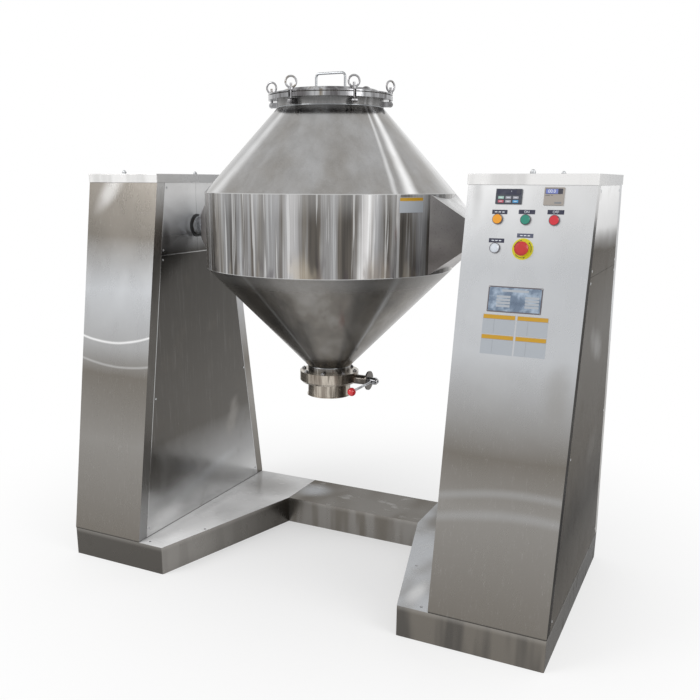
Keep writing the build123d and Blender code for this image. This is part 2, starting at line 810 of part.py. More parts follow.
def valve_lever():
    x_from, x_to = drum_x + lever_start, drum_x + lever_start + lever_hub_length
    hub = rod_x(lever_hub_radius, x_from, x_to, 0, stem_height)
    arm = rod_y(lever_radius, -lever_end, -lever_hub_radius / 2, (x_from + x_to) / 2, stem_height)
    bore = rod_x(stem_radius + thread_gap, x_from - overshoot, x_to + overshoot, 0, stem_height)
    return hub + arm - bore


def lever_knob():
    x = drum_x + lever_start + lever_hub_length / 2
    knob = Pos(x, -lever_length, stem_height) * Sphere(knob_radius)
    return knob - rod_y(lever_radius + thread_gap, -lever_end, 0, x, stem_height)


# Operator panel

def round_profile(points):
    # Outline of radius and distance out of the panel, turned about the panel's normal
    return revolve(Plane.XZ * make_face(Polyline(*points, close=True)), Axis.Z)


def control_places():
    # Middle and drop of each round control
    places = {name: (button_spacing * step - button_shift, button_row) for name, step in buttons.items()}
    places["indicator"] = (-button_spacing - button_shift, lower_row)
    places["estop"] = (-button_shift, lower_row)
    return places


def panel_openings():
    through = 2 * (cover_sheet + return_width)
    cut = [on_panel(Cylinder(barrel_radius + panel_hole_gap, through), *place)
           for place in control_places().values()]
    for width, height, x, row in ((keypad_width, keypad_height, -keypad_left, keypad_row),
                                  (timer_width, timer_height, timer_right, timer_row)):
        cut.append(on_panel(Box(width - 2 * device_lip, height - 2 * device_lip, through), x, row))
    return cut


def right_front_cover():
    cover = folded_cover("right", -1)
    for cut in panel_openings():
        cover = cover - cut
    return cover


def panel_device(width, height, depth, x, row):
    # Framed device in its cut-out, front frame on the sheet and case behind it
    front = Pos(0, 0, device_proud / 2) * Box(width, height, device_proud)
    front = fillet(front.edges().filter_by(Axis.Z), device_fillet)
    front = chamfer(front.faces().sort_by(Axis.Z)[-1].edges(), device_bevel)
    inset = 2 * (device_lip + device_gap)
    case = Pos(0, 0, -depth / 2) * Box(width - inset, height - inset, depth)
    return on_panel(front + case, x, row)


def button_bezel():
    inner = button_cap_radius + running_gap
    outer = inner + bezel_wall
    return round_profile([(barrel_bore, -barrel_length), (barrel_radius, -barrel_length),
                          (barrel_radius, 0), (outer, 0), (outer, bezel_height), (inner, bezel_height),
                          (inner, bezel_floor), (barrel_bore, bezel_floor)])


def estop_collar_ring():
    return round_profile([(barrel_bore, -barrel_length), (barrel_radius, -barrel_length),
                          (barrel_radius, estop_plate), (estop_collar_radius, estop_plate),
                          (estop_collar_radius, estop_collar), (barrel_bore, estop_collar)])


def operator_bezels():
    places = control_places()
    pieces = [on_panel(button_bezel(), *place) for name, place in places.items() if name != "estop"]
    return group(*pieces, on_panel(estop_collar_ring(), *places["estop"]))


def button_cap(name):
    top = cap_lift + cap_proud
    foot = button_travel - barrel_length
    rim = button_cap_radius - cap_bevel
    shape = round_profile([(0, foot), (plunger_radius, foot), (plunger_radius, cap_lift),
                           (button_cap_radius, cap_lift), (button_cap_radius, top - cap_bevel),
                           (rim, top), (0, top)])
    return on_panel(shape, *control_places()[name])


def indicator_lens():
    lens = round_profile([(0, 0), (plunger_radius, 0), (plunger_radius, bezel_floor + weld_gap),
                          (button_cap_radius, bezel_floor + weld_gap), (button_cap_radius, bezel_height),
                          (lens_dome_radius, bezel_height + lens_shoulder), (0, bezel_height + lens_dome)])
    return on_panel(lens, *control_places()["indicator"])


def estop_plate_disc():
    disc = round_profile([(barrel_radius + panel_hole_gap, 0), (estop_plate_radius, 0),
                          (estop_plate_radius, estop_plate), (barrel_radius + panel_hole_gap, estop_plate)])
    return on_panel(disc, *control_places()["estop"])


def estop_stem():
    length = barrel_length - button_travel + estop_lift
    return on_panel(Pos(0, 0, estop_lift - length / 2) * Cylinder(plunger_radius, length),
                    *control_places()["estop"])


def estop_head():
    low, high = estop_lift, estop_lift + estop_height
    rim = estop_radius - estop_step
    head = round_profile([(0, low), (rim, low), (estop_radius, low + estop_step),
                          (estop_radius, high - estop_crown), (rim, high - estop_step / 2),
                          (rim - estop_step, high), (0, high)])
    return on_panel(head, *control_places()["estop"])


def control_box():
    # Open tray behind the panel
    out = -cover_sheet - control_box_depth / 2
    drop = control_box_top + control_box_height / 2
    width, height = control_box_width, control_box_height
    tray = Box(width, height, control_box_depth)
    hollow = Box(width - 2 * control_sheet, height - 2 * control_sheet, control_box_depth)
    return on_panel(tray - Pos(0, 0, control_sheet) * hollow, 0, drop, out)


def build():
    os.makedirs("parts", exist_ok=True)
    save(base_frame(), "base_frame")
    save(beam_cover(), "rear_beam_cover")
    for side in ("left", "right"):
        save(plinth_cover(side), side + "_plinth_cover")
        save(column_frame(side), side + "_column_frame")
        save(folded_cover(side, 1), side + "_rear_cover")
        save(inner_lower_panel(side), side + "_inner_lower_panel")
        save(inner_upper_panels(side), side + "_inner_upper_panels")
        save(outer_panels(side), side + "_outer_panels")
        save(column_cap(side), side + "_column_cap")
    save(folded_cover("left", -1), "left_front_cover")
    save(right_front_cover(), "right_front_cover")
    save(cover_fasteners(), "cover_fasteners")
    save(group(pillow_block(-1), pillow_block(1)), "pillow_blocks")
    save(group(bearing_insert(-1), bearing_insert(1)), "bearing_inserts")
    save(group(shaft_seal(-1), shaft_seal(1)), "shaft_seals")
    save(gear_reducer(), "gear_reducer")
    save(drive_motor(), "drive_motor")
    save(motor_fan_cowl(), "motor_fan_cowl")
    save(control_box(), "control_box")
    save(panel_device(keypad_width, keypad_height, keypad_depth, -keypad_left, keypad_row), "speed_keypad")
    save(panel_device(timer_width, timer_height, timer_depth, timer_right, timer_row), "process_timer")
    save(operator_bezels(), "operator_bezels")
    for name in buttons:
        save(button_cap(name), name)
    save(indicator_lens(), "indicator_lens")
    save(estop_plate_disc(), "estop_plate")
    save(estop_stem(), "estop_stem")
    save(estop_head(), "estop_head")
    save(ring(drum_radius - wall, drum_radius, band_bottom, band_top), "drum_band")
    save(cone_shell(drum_radius, band_top, neck_radius, neck_foot, neck_top), "upper_cone")
    save(cone_shell(drum_radius, band_bottom, outlet_radius, outlet_top, valve_top), "lower_cone")
    save(group(trunnion_box(-1), trunnion_box(1)), "trunnion_boxes")
    save(group(stub_shaft(-1), stub_shaft(1)), "trunnion_shafts")
    save(shaft_coupling(), "shaft_coupling")
    save(neck_flange(), "neck_flange")
    save(lid_gasket(), "lid_gasket")
    save(lid(), "lid")
    save(lid_handle(), "lid_handle")
    save(bolt_lugs(), "bolt_lugs")
    save(lug_pins(), "lug_pins")
    for k in range(bolt_count):
        save(swing_bolt(k), "swing_bolt_" + str(k + 1))
    save(outlet_flange(), "outlet_flange")
    save(valve_body(), "valve_body")
    save(valve_seat(), "valve_seat")
    save(valve_disc(), "valve_disc")
    save(valve_lever(), "valve_lever")
    save(lever_knob(), "lever_knob")


build()
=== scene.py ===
import bpy
import bmesh
import math
from mathutils import Matrix, Vector


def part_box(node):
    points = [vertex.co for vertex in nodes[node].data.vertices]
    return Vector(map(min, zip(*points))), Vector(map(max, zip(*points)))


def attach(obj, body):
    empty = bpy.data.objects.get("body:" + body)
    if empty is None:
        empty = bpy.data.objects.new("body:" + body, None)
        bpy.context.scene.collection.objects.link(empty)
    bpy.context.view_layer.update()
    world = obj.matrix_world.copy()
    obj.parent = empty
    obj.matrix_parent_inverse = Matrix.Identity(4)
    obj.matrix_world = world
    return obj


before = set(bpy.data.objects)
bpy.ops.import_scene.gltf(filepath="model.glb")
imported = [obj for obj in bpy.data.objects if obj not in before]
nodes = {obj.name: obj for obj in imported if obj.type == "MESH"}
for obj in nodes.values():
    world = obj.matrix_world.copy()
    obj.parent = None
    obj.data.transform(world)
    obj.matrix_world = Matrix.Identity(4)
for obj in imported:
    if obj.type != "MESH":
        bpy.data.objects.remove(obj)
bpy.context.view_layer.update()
scene = bpy.context.scene
print("frame loaded, nodes:", len(nodes))


# Camera

camera = {
    "place": (1.2707, -2.6079, 1.3889),
    "yaw": 0.4624,        # turned to the left of +Y, radians
    "pitch": -0.2702,
    "roll": 0.004,
    "lens": 42.206,
    "shift": (0.0294, 0.0828),
}


def makeCamera():
    yaw, pitch, roll = camera["yaw"], camera["pitch"], camera["roll"]
    forward = Vector((-math.sin(yaw) * math.cos(pitch), math.cos(yaw) * math.cos(pitch), math.sin(pitch)))
    level = Vector((math.cos(yaw), math.sin(yaw), 0))
    upright = level.cross(forward)
    right = level * math.cos(roll) + upright * math.sin(roll)
    up = upright * math.cos(roll) - level * math.sin(roll)
    data = bpy.data.cameras.new("photoCamera")
    data.lens = camera["lens"]
    data.sensor_width = 36
    data.shift_x, data.shift_y = camera["shift"]
    data.clip_end = 60
    holder = bpy.data.objects.new("photoCamera", data)
    scene.collection.objects.link(holder)
    holder.matrix_world = Matrix((right, up, -forward)).transposed().to_4x4()
    holder.location = camera["place"]
    scene.camera = holder


makeCamera()
scene.view_settings.view_transform = "Standard"
print("camera set")


# Shader maths

class Wire:
    # One output socket; sums with it add Math nodes
    def __init__(self, sheet, socket):
        self.sheet = sheet
        self.socket = socket

    def maths(self, operation, *terms):
        return self.sheet.add("Math", {"operation": operation}, dict(enumerate(terms)))

    def __add__(self, other):
        return self.maths("ADD", self, other)

    def __sub__(self, other):
        return self.maths("SUBTRACT", self, other)

    def __rsub__(self, other):
        return self.maths("SUBTRACT", other, self)

    def __mul__(self, other):
        return self.maths("MULTIPLY", self, other)

    def __truediv__(self, other):
        return self.maths("DIVIDE", self, other)

    def __rtruediv__(self, other):
        return self.maths("DIVIDE", other, self)

    def __pow__(self, other):
        return self.maths("POWER", self, other)

    def __abs__(self):
        return self.maths("ABSOLUTE", self)

    __radd__ = __add__
    __rmul__ = __mul__

    def between(self, low, high):
        # 0 at low, 1 at high, eased
        return self.sheet.add("MapRange", {"interpolation_type": "SMOOTHSTEP"},
                              {"Value": self, "From Min": low, "From Max": high})

    def peak(self, middle, width):
        # 1 on a line, fading to 0 at width to either side
        return 1 - abs(self - middle).between(0, width)


class Sheet:
    # Node tree of a material or of the world
    def __init__(self, tree):
        self.tree = tree
        tree.nodes.clear()

    def add(self, kind, settings=None, values=None, out=0):
        node = self.tree.nodes.new("ShaderNode" + kind)
        for key, value in (settings or {}).items():
            if key == "stops":
                setStops(node.color_ramp.elements, value)
            else:
                setattr(node, key, value)
        for key, value in (values or {}).items():
            if isinstance(value, Wire):
                self.tree.links.new(value.socket, node.inputs[key])
            else:
                node.inputs[key].default_value = value
        return Wire(self, node.outputs[out]) if node.outputs else None

    def ramp(self, value, stops, out=0):
        return self.add("ValToRGB", {"stops": stops}, {"Fac": value}, out)

    def blend(self, share, first, second, way="MIX"):
        # Two colours, the second by its share
        return self.add("Mix", {"data_type": "RGBA", "blend_type": way}, {0: share, 6: first, 7: second}, 2)

    def place(self):
        # Object coordinates, which are the shared frame in metres
        return self.add("TexCoord", None, None, "Object")

    def noise(self, stretch, scale=1.0, detail=3.0, rough=0.55):
        # Stretch is how many times finer the noise is along X, Y and Z
        spot = self.add("VectorMath", {"operation": "MULTIPLY"}, {0: self.place(), 1: stretch})
        return self.add("TexNoise", None, {"Vector": spot, "Scale": scale, "Detail": detail,
                                           "Roughness": rough})

    def parts(self, where=None):
        return [self.add("SeparateXYZ", None, {0: where or self.place()}, axis) for axis in range(3)]

    def normal(self):
        # The surface normal, as the piece stands at rest
        return self.parts(self.add("TexCoord", None, None, "Normal"))

    def facing(self):
        return [abs(part) for part in self.normal()]

    def patches(self, colour, drift, spots):
        # Soft ragged patches of another tone, which paint reflections and highlights; turn leans one about an axis
        for spot in spots:
            away = self.add("VectorMath", {"operation": "SUBTRACT"}, {0: self.place(), 1: spot["place"]})
            if "turn" in spot:
                axis, degrees = spot["turn"]
                away = self.add("VectorRotate", {"rotation_type": axis + "_AXIS"},
                                {"Vector": away, "Angle": math.radians(degrees)})
            scaled = self.add("VectorMath", {"operation": "DIVIDE"}, {0: away, 1: spot["size"]})
            far = self.add("VectorMath", {"operation": "LENGTH"}, {0: scaled}, "Value")
            share = (1 - (far + drift * spot.get("ragged", 0.6)).between(0.1, 1.0)) * spot["share"]
            colour = self.blend(share, colour, tone(spot["tone"]))
        return colour


def setStops(elements, stops):
    while len(elements) > 1:
        elements.remove(elements[-1])
    elements[0].position, elements[0].color = stops[0][0], (*stops[0][1], 1)
    for place, colour in stops[1:]:
        elements.new(place).color = (*colour, 1)


def seen(red, green, blue):
    # Colour as it stands on the screen, 0 to 255, turned to scene values
    return tuple((c / 255 / 12.92) if c < 10.3 else ((c / 255 + 0.055) / 1.055) ** 2.4
                 for c in (red, green, blue))


def grey(level, warmth=0.0):
    # Screen grey, warm above zero and cold below
    return seen(level * (1 + warmth), level, level * (1 - 1.4 * warmth))


# Tones of bare steel under soft light, from shadow to glare; the sheet and drum finishes pick from these
steel = {"deep": grey(65, 0.03), "dark": grey(90, 0.03), "brown": grey(115, 0.04), "middle": grey(140, 0.02),
         "soft": grey(165), "pale": grey(190, -0.01), "light": grey(215), "white": grey(245)}


def tone(name):
    return (*steel[name], 1)


def makeFinish(name, build):
    material = bpy.data.materials.new(name)
    material.use_nodes = True
    sheet = Sheet(material.node_tree)
    sheet.add("OutputMaterial", None, {"Surface": build(sheet)})
    return material


def surface(sheet, colour, roughness, metallic=0.0, bump=None, depth=0.0, **fixed):
    # The shader itself; fixed values go straight on its sockets
    values = {"Base Color": colour, "Roughness": roughness, "Metallic": metallic}
    values.update({key.replace("_", " ").title().replace("Ior", "IOR"): value for key, value in fixed.items()})
    if bump is not None:
        values["Normal"] = sheet.add("Bump", None, {"Height": bump, "Distance": depth, "Strength": 1.0})
    return sheet.add("BsdfPrincipled", None, values)


# Brushed cover sheet

brushed = {"scratches": 900.0, "length": 90, "coarser": 6}     # scratches to the metre, how much longer than wide


def grainOf(sheet):
    # Fine parallel scratches that run up the sheet
    fine = brushed["scratches"]
    stretch = [fine, fine, fine / brushed["length"]]
    coarse = [value / brushed["coarser"] for value in stretch]
    return sheet.noise(stretch, detail=2) * 0.6 + sheet.noise(coarse, detail=2) * 0.4


def brushedSheet(name, heights, roughness=0.3, low=0.105, high=1.41, highlightArcs=(), spots=(), stain=0.5,
                 strip=None, metallic=1.0, edge=1.0, rim=None, dull=None, gloss=0.5):
    # Steel in broad zones of tone up its height, with a few soft patches; the zones are painted reflections and
    # shade
    def zones(tones):
        return [((place - low) / (high - low), steel[zone]) for place, zone in tones]

    def build(sheet):
        x, y, z = sheet.parts()
        drift = sheet.noise((1.3, 1.3, 2.0), scale=2.2, detail=3) - 0.5
        level = (z + drift * 0.07 - low) / (high - low)
        colour = sheet.ramp(level, zones(heights))
        # Painted highlights: thin curved lines of light across the sheet
        for arc in highlightArcs:
            away = x - arc["middle"]
            line = (z + away * away * arc["sag"] + drift * 0.01).peak(arc["height"], arc["width"])
            colour = sheet.blend(line * arc["share"], colour, tone(arc["tone"]))
        # Painted reflections and highlights as soft ragged spots
        ragged = sheet.noise((2, 2, 2), scale=6, detail=4) - 0.5
        colour = sheet.patches(colour, drift + ragged, spots)
        # Painted reflections and shade on the side returns, in their own tones up the height
        if strip:
            colour = sheet.blend(sheet.facing()[0].between(0.6, 0.8), colour, sheet.ramp(level, zones(strip)))
        if rim:
            # Light that catches the cut edge of the sheet, along the slope
            slope = abs(y) + (z - low) * rim["lean"]
            line = slope.peak(rim["reach"], rim["width"]) + z.peak(rim["seam"], rim["width"])
            colour = sheet.blend(line * rim["share"], colour, tone(rim["tone"]))
        colour = sheet.blend((1 - z.between(0.1065, 0.1105)) * 0.75, colour, (*grey(44), 1))
        grain = grainOf(sheet)
        colour = sheet.blend(grain.between(0.3, 0.7) * 0.22, colour, (*grey(250), 1), "MULTIPLY")
        bright = sheet.blend(grain.between(0.56, 0.75) * 0.16, colour, (*grey(235), 1))
        marks = sheet.noise((1, 1, 1), scale=9, detail=5).between(0.56, 0.72)
        colour = sheet.blend(marks * 0.16 * stain, bright, (*grey(95, 0.05), 1))
        smear = sheet.noise((2, 2, 1), scale=5, detail=3).between(0.35, 0.7)
        shine = metallic
        if dull:
            # Less of a mirror in the pale zone at the top of a side
            shine = metallic - z.between(*dull) * sheet.facing()[0].between(0.6, 0.8) * (0.85 * metallic)
        rough = grain * 0.08 + smear * 0.08 + marks * (0.05 * stain) + (roughness - 0.08)
        return surface(sheet, colour, rough, shine, grain, 0.00008, specular_tint=(edge, edge, edge, 1),
                       specular_ior_level=gloss)
    return makeFinish(name, build)


# Each cover below gets painted reflections, highlights and shade: height zones, curved highlight lines, spots,
# strips and edge light
leftFront = brushedSheet(
    "leftFrontSteel",
    [(0.105, "brown"), (0.45, "middle"), (0.70, "brown"), (0.80, "soft"), (1.0, "pale"), (1.2, "brown"),
     (1.41, "brown")],
    stain=0.1, dull=(1.16, 1.30),
    highlightArcs=[{"middle": -0.77, "sag": -1.0, "height": 0.815, "width": 0.007, "share": 0.8, "tone": "white"},
          {"middle": -0.72, "sag": -0.7, "height": 0.73, "width": 0.007, "share": 0.4, "tone": "light"}],
    spots=[{"place": (-0.80, -0.235, 1.35), "size": (0.05, 0.2, 0.12), "share": 0.4, "turn": ("Y", -38),
            "ragged": 0.4, "tone": "light"}],
    strip=[(0.105, "soft"), (0.45, "dark"), (1.0, "dark"), (1.25, "brown"), (1.41, "light")])

rightFront = brushedSheet(
    "rightFrontSteel",
    [(0.105, "brown"), (0.45, "middle"), (0.60, "brown"), (0.90, "pale"), (1.15, "pale"), (1.41, "light")],
    stain=0.18,
    highlightArcs=[{"middle": 0.82, "sag": 0.45, "height": 0.51, "width": 0.020, "share": 0.5, "tone": "soft"},
          {"middle": 0.82, "sag": 0.45, "height": 0.445, "width": 0.024, "share": 0.5, "tone": "soft"}],
    spots=[{"place": (0.85, -0.32, 0.80), "size": (0.06, 0.3, 0.14), "share": 0.45, "tone": "middle"},
           {"place": (0.56, -0.25, 1.36), "size": (0.025, 0.2, 0.12), "share": 0.5, "tone": "soft"}],
    strip=[(0.105, "dark"), (0.45, "deep"), (0.70, "dark"), (1.2, "dark"), (1.41, "light")],
    edge=0.25, dull=(1.25, 1.32))

leftInner = brushedSheet(
    "leftInnerSteel",
    [(0.105, "light"), (0.25, "soft"), (0.45, "dark"), (1.13, "deep"), (1.25, "pale"), (1.35, "white")],
    roughness=0.2, stain=1.0, dull=(1.14, 1.28),
    rim={"lean": 0.165517, "reach": 0.3935, "width": 0.0028, "seam": 1.1292, "share": 0.8, "tone": "light"},
    spots=[{"place": (-0.59, -0.30, 0.13), "size": (0.3, 0.20, 0.07), "share": 0.8, "turn": ("X", -14),
            "tone": "white"},
           {"place": (-0.59, 0.0, 0.23), "size": (0.3, 0.30, 0.04), "share": 0.45, "turn": ("X", -12),
            "tone": "pale"},
           {"place": (-0.59, 0.20, 0.42), "size": (0.3, 0.05, 0.10), "share": 0.5, "turn": ("X", 24),
            "ragged": 1.4, "tone": "middle"},
           {"place": (-0.59, -0.19, 1.20), "size": (0.3, 0.04, 0.08), "share": 0.7, "tone": "deep"}])

rightOuter = brushedSheet(
    "rightOuterSteel",
    [(0.105, "brown"), (0.35, "dark"), (0.60, "brown"), (0.95, "middle"), (1.2, "brown"), (1.26, "light"),
     (1.41, "white")],
    roughness=0.16, stain=1.2, edge=0.15, dull=(1.215, 1.27), metallic=0.5, gloss=0.0,
    spots=[{"place": (0.894, -0.15, 0.40), "size": (0.3, 0.15, 0.08), "share": 0.35, "ragged": 1.0,
            "tone": "deep"},
           {"place": (0.894, 0.10, 0.55), "size": (0.3, 0.12, 0.08), "share": 0.4, "tone": "middle"},
           {"place": (0.894, 0.0, 0.90), "size": (0.3, 0.16, 0.06), "share": 0.4, "ragged": 1.0,
            "turn": ("X", 20), "tone": "light"}])

rearSheet = brushedSheet(
    "rearSteel",
    [(0.105, "brown"), (0.50, "middle"), (0.65, "brown"), (1.0, "pale"), (1.15, "soft"), (1.41, "pale")])

print("cover finishes made")


plinthTop = 0.1049


def plinthSteel(name, topTone, topDark, front, flank, spots, metallic=1.0, cloudiness=1.0, flankDull=0.0):
    # Lighter on top than on the skirts, as painted light, with painted highlight and reflection patches on top;
    # front and flank run from one tone to another, as painted shade
    def build(sheet):
        x, y, z = sheet.parts()
        across, along, up = sheet.facing()
        cloud = sheet.noise((1.5, 1, 1), scale=3.0, detail=2).between(0.35, 0.65)
        drift = sheet.noise((1, 1, 1), scale=6, detail=4) - 0.5
        top = sheet.blend(cloud, tone(topDark), tone(topTone))
        top = sheet.patches(top, drift, spots)
        streak = sheet.noise((9, 9, 1), scale=1.6, detail=2).between(0.42, 0.62)
        skirt = sheet.blend(streak * cloudiness, tone(front[0]), tone(front[1]))
        side = sheet.blend(y.between(-0.40, 0.20), tone(flank[0]), tone(flank[1]))
        side = sheet.blend(streak * 0.2, side, tone(flank[1]))
        skirt = sheet.blend(across.between(0.3, 0.8), skirt, side)
        # Painted highlight along the top edge of the skirts
        skirt = sheet.blend(z.between(0.085, 0.105) * 0.25, skirt, (*grey(190, 0.02), 1))
        grain = sheet.noise((40, 700, 700), detail=2)
        lid = up.between(0.5, 0.9)
        colour = sheet.blend(lid, skirt, top)
        colour = sheet.blend(grain.between(0.35, 0.7) * 0.2, colour, (*grey(250), 1), "MULTIPLY")
        smudge = sheet.noise((1, 2, 1), scale=13, detail=6).between(0.57, 0.70)
        colour = sheet.blend(smudge * lid * 0.25, colour, (*grey(205), 1))
        shine = 1 - lid * (1 - metallic)
        if flankDull:
            shine = shine - across.between(0.3, 0.8) * flankDull
        return surface(sheet, colour, grain * 0.07 + smudge * 0.14 + 0.22, shine, grain,
                       0.00008, specular_tint=(0.4, 0.4, 0.4, 1))
    return makeFinish(name, build)


leftPlinth = plinthSteel(
    "leftPlinthSteel", "white", "light", ("dark", "dark"), ("middle", "dark"),
    [{"place": (-0.565, 0.02, plinthTop), "size": (0.035, 0.34, 1), "share": 0.35, "tone": "soft"},
     {"place": (-0.46, 0.28, plinthTop), "size": (0.18, 0.16, 1), "share": 0.6, "tone": "brown"}],
    metallic=0.0, cloudiness=0.7)
rightPlinth = plinthSteel(
    "rightPlinthSteel", "pale", "middle", ("brown", "dark"), ("brown", "dark"),
    [{"place": (0.455, -0.33, plinthTop), "size": (0.04, 0.12, 1), "share": 0.8, "tone": "light"},
     {"place": (0.40, 0.20, plinthTop), "size": (0.16, 0.22, 1), "share": 0.5, "tone": "middle"}])
beamSteel = plinthSteel(
    "beamSteel", "middle", "brown", ("middle", "brown"), ("brown", "dark"),
    [{"place": (-0.26, 0.33, plinthTop), "size": (0.10, 0.10, 1), "share": 0.8, "tone": "pale"}])
capSteel = plinthSteel(
    "capSteel", "light", "light", ("white", "light"), ("light", "pale"),
    [], cloudiness=0.8, flankDull=0.7)
print("plinth finishes made")


# Drum

drum = {"x": -0.030, "axis": 1.225, "radius": 0.427, "bandLow": 1.10, "bandHigh": 1.35,
        "neckFoot": 1.621, "outletTop": 0.746}


def aroundDrum(sheet, wobble=0.004, lean=0.0):
    # Share of the full circle, from the -X side round by the front
    x, y, z = sheet.parts()
    turn = sheet.add("Math", {"operation": "ARCTAN2"}, {0: y, 1: x - drum["x"]}) / (2 * math.pi) + 0.5
    wave = sheet.noise((2, 2, 5), scale=1.6, detail=2) - 0.5
    return turn + wave * wobble + (z - drum["axis"]) * lean, z


def streaked(sheet, turn, grain, tones, glints):
    # Upright streaks from noise in a few tones, then the broad reflections, placed in degrees
    # Streaks and glints alike are painted reflections
    colour = sheet.ramp(grain, [(place, steel[name]) for place, name in tones])
    for at, width, share, name in glints:
        line = turn.peak((at + 180) / 360, width / 360)
        colour = sheet.blend(line * share, colour, tone(name))
    return colour


# Painted reflections on the band: streak tones, then glints as angle, width, share and tone
bandTones = [(0.32, "deep"), (0.42, "dark"), (0.50, "brown"), (0.56, "soft"), (0.64, "pale"), (0.74, "light")]
bandGlints = [(-110, 9, 0.6, "deep"), (-90, 6, 0.6, "soft"), (-79, 5, 0.8, "light"), (-49, 5, 1.0, "white"),
              (-39, 7, 0.6, "dark"), (45, 8, 0.6, "pale"), (120, 6, 0.8, "light")]


def bandFinish(sheet):
    # Mirror polish with painted reflections: upright streaks, sharper and brighter towards the top
    turn, z = aroundDrum(sheet, 0.005, -0.012)
    broad = sheet.noise((16, 16, 0.5), detail=4, rough=0.6)
    colour = streaked(sheet, turn, broad, bandTones, bandGlints)
    # Painted reflections: thin dark and light streaks
    thin = sheet.noise((48, 48, 0.9), detail=4, rough=0.6)
    colour = sheet.blend(thin.between(0.42, 0.51) * 0.34, colour, (*seen(112, 100, 96), 1), "MULTIPLY")
    colour = sheet.blend(thin.between(0.59, 0.62) * 0.5, colour, (*grey(226), 1))
    # Painted reflection: warm light blobs at the foot of the band
    warmReflection = sheet.noise((10, 10, 4), detail=3).between(0.50, 0.66)
    low = 1 - z.between(drum["bandLow"] + 0.01, drum["bandLow"] + 0.10)
    colour = sheet.blend(warmReflection * low * 0.42, colour, (*seen(206, 194, 174), 1))
    # Painted reflection: dark blobs at the foot of the band
    deep = sheet.noise((20, 20, 4), detail=3).between(0.5, 0.6)
    colour = sheet.blend(deep * low * 0.4, colour, (*seen(74, 66, 72), 1))
    # Painted highlight, growing towards the top of the band
    rise = z.between(drum["bandHigh"] - 0.09, drum["bandHigh"])
    colour = sheet.blend(rise * 0.22, colour, (*grey(210), 1))
    # Painted highlights along the band's top and bottom edges
    edge = z.peak(drum["bandHigh"], 0.0025) + z.peak(drum["bandLow"], 0.0025)
    colour = sheet.blend(edge * 0.8, colour, (*grey(205), 1))
    haze = sheet.noise((3, 3, 3), scale=3, detail=4).between(0.45, 0.7)
    shade = turn.between(138 / 360, 146 / 360) * (1 - turn.between(175 / 360, 185 / 360)) \
        + (1 - turn.between(46 / 360, 62 / 360))
    dents = sheet.noise((5, 5, 9), scale=2, detail=1)
    return surface(sheet, colour, haze * 0.06 + 0.12, 1 - shade * 0.62, dents, 0.0012)


# Painted reflections on the cones: streak tones, then glints as angle, width, share and tone
upperTones = [(0.35, "middle"), (0.65, "soft")]
upperGlints = [(-123, 8, 0.9, "light"), (-36, 2, 0.9, "light"), (-28, 5, 1.0, "white"), (8, 18, 0.8, "light"),
               (50, 5, 0.8, "light"), (128, 6, 0.9, "white")]
lowerTones = [(0.35, "dark"), (0.55, "brown"), (0.72, "middle")]
lowerGlints = [(-103, 2, 0.7, "soft"), (-51, 6, 0.6, "dark"), (-34, 3, 0.8, "soft"), (78, 4, 0.6, "middle"),
               (120, 4, 0.6, "middle")]


def coneFinish(tones, glints, cone):
    def build(sheet):
        turn, z = aroundDrum(sheet, 0.005)
        rise = abs(z - cone["seam"])
        turn = turn - rise * cone["lean"] - rise * rise * cone["bend"]
        # Painted reflections: streaks round the axis, with thin darker streaks
        broad = sheet.noise((8, 8, 0.8), detail=3)
        colour = streaked(sheet, turn, broad, tones, glints)
        thin = sheet.noise((26, 26, 2), detail=2)
        colour = sheet.blend(thin.between(0.35, 0.7) * 0.14, colour, (*grey(150, 0.02), 1), "MULTIPLY")
        # Painted reflection in a band about the fade height
        fade = 1 - abs(z - cone["fade"]).between(0, cone["reach"])
        colour = sheet.blend(fade * cone["share"], colour, (*cone["tone"], 1))
        grain = sheet.noise((500, 500, 60), detail=2)
        colour = sheet.blend(grain.between(0.4, 0.75) * 0.1, colour, (*grey(235), 1))
        # Painted highlight along the seam
        colour = sheet.blend(z.peak(cone["seam"], 0.0025) * 0.7, colour, (*grey(196), 1))
        dents = sheet.noise((3, 3, 3), scale=2, detail=1)
        return surface(sheet, colour, grain * 0.06 + fade * 0.12 + cone["gloss"],
                       cone["metallic"] - fade * cone["dull"], dents, 0.0008)
    return build


# fade, reach, share and tone paint a reflection band: dark under the neck flange on the upper cone, light below the
# band on the lower cone
upperCone = {"seam": 1.35, "lean": 0.05, "bend": 0.2, "fade": 1.634, "reach": 0.034, "share": 0.75,
             "tone": grey(84), "gloss": 0.15, "metallic": 1.0, "dull": 0.7}
lowerCone = {"seam": 1.10, "lean": 0.03, "bend": 0.05, "fade": 1.085, "reach": 0.05, "share": 0.35,
             "tone": steel["soft"], "gloss": 0.2, "metallic": 0.86, "dull": 0.0}
bandSteel = makeFinish("bandSteel", bandFinish)
upperSteel = makeFinish("upperConeSteel", coneFinish(upperTones, upperGlints, upperCone))
lowerSteel = makeFinish("lowerConeSteel", coneFinish(lowerTones, lowerGlints, lowerCone))


def housingFinish(sheet):
    # Trunnion housings: dull satin sheet with painted dark reflections, a lighter painted band up the sides and
    # painted highlights on the upward faces and ridges
    x, y, z = sheet.parts()
    up = sheet.normal()[2].between(0.2, 0.6)
    cloud = sheet.noise((2, 2, 3), scale=3, detail=3).between(0.35, 0.7)
    side = sheet.blend(cloud, (*seen(132, 126, 124), 1), (*seen(164, 158, 155), 1))
    side = sheet.blend(z.between(1.12, 1.30) * 0.35, side, (*grey(176), 1))
    top = sheet.blend(cloud, (*grey(186), 1), (*grey(250), 1))
    colour = sheet.blend(up, side, top)
    grain = sheet.noise((60, 500, 500), detail=2)
    colour = sheet.blend(grain.between(0.4, 0.7) * 0.15, colour, (*grey(235), 1), "MULTIPLY")
    return surface(sheet, colour, grain * 0.1 + 0.24, x.between(-0.4, 0.2) * 0.4 + 0.2, grain, 0.00006)


housingSteel = makeFinish("housingSteel", housingFinish)
print("drum finishes made")


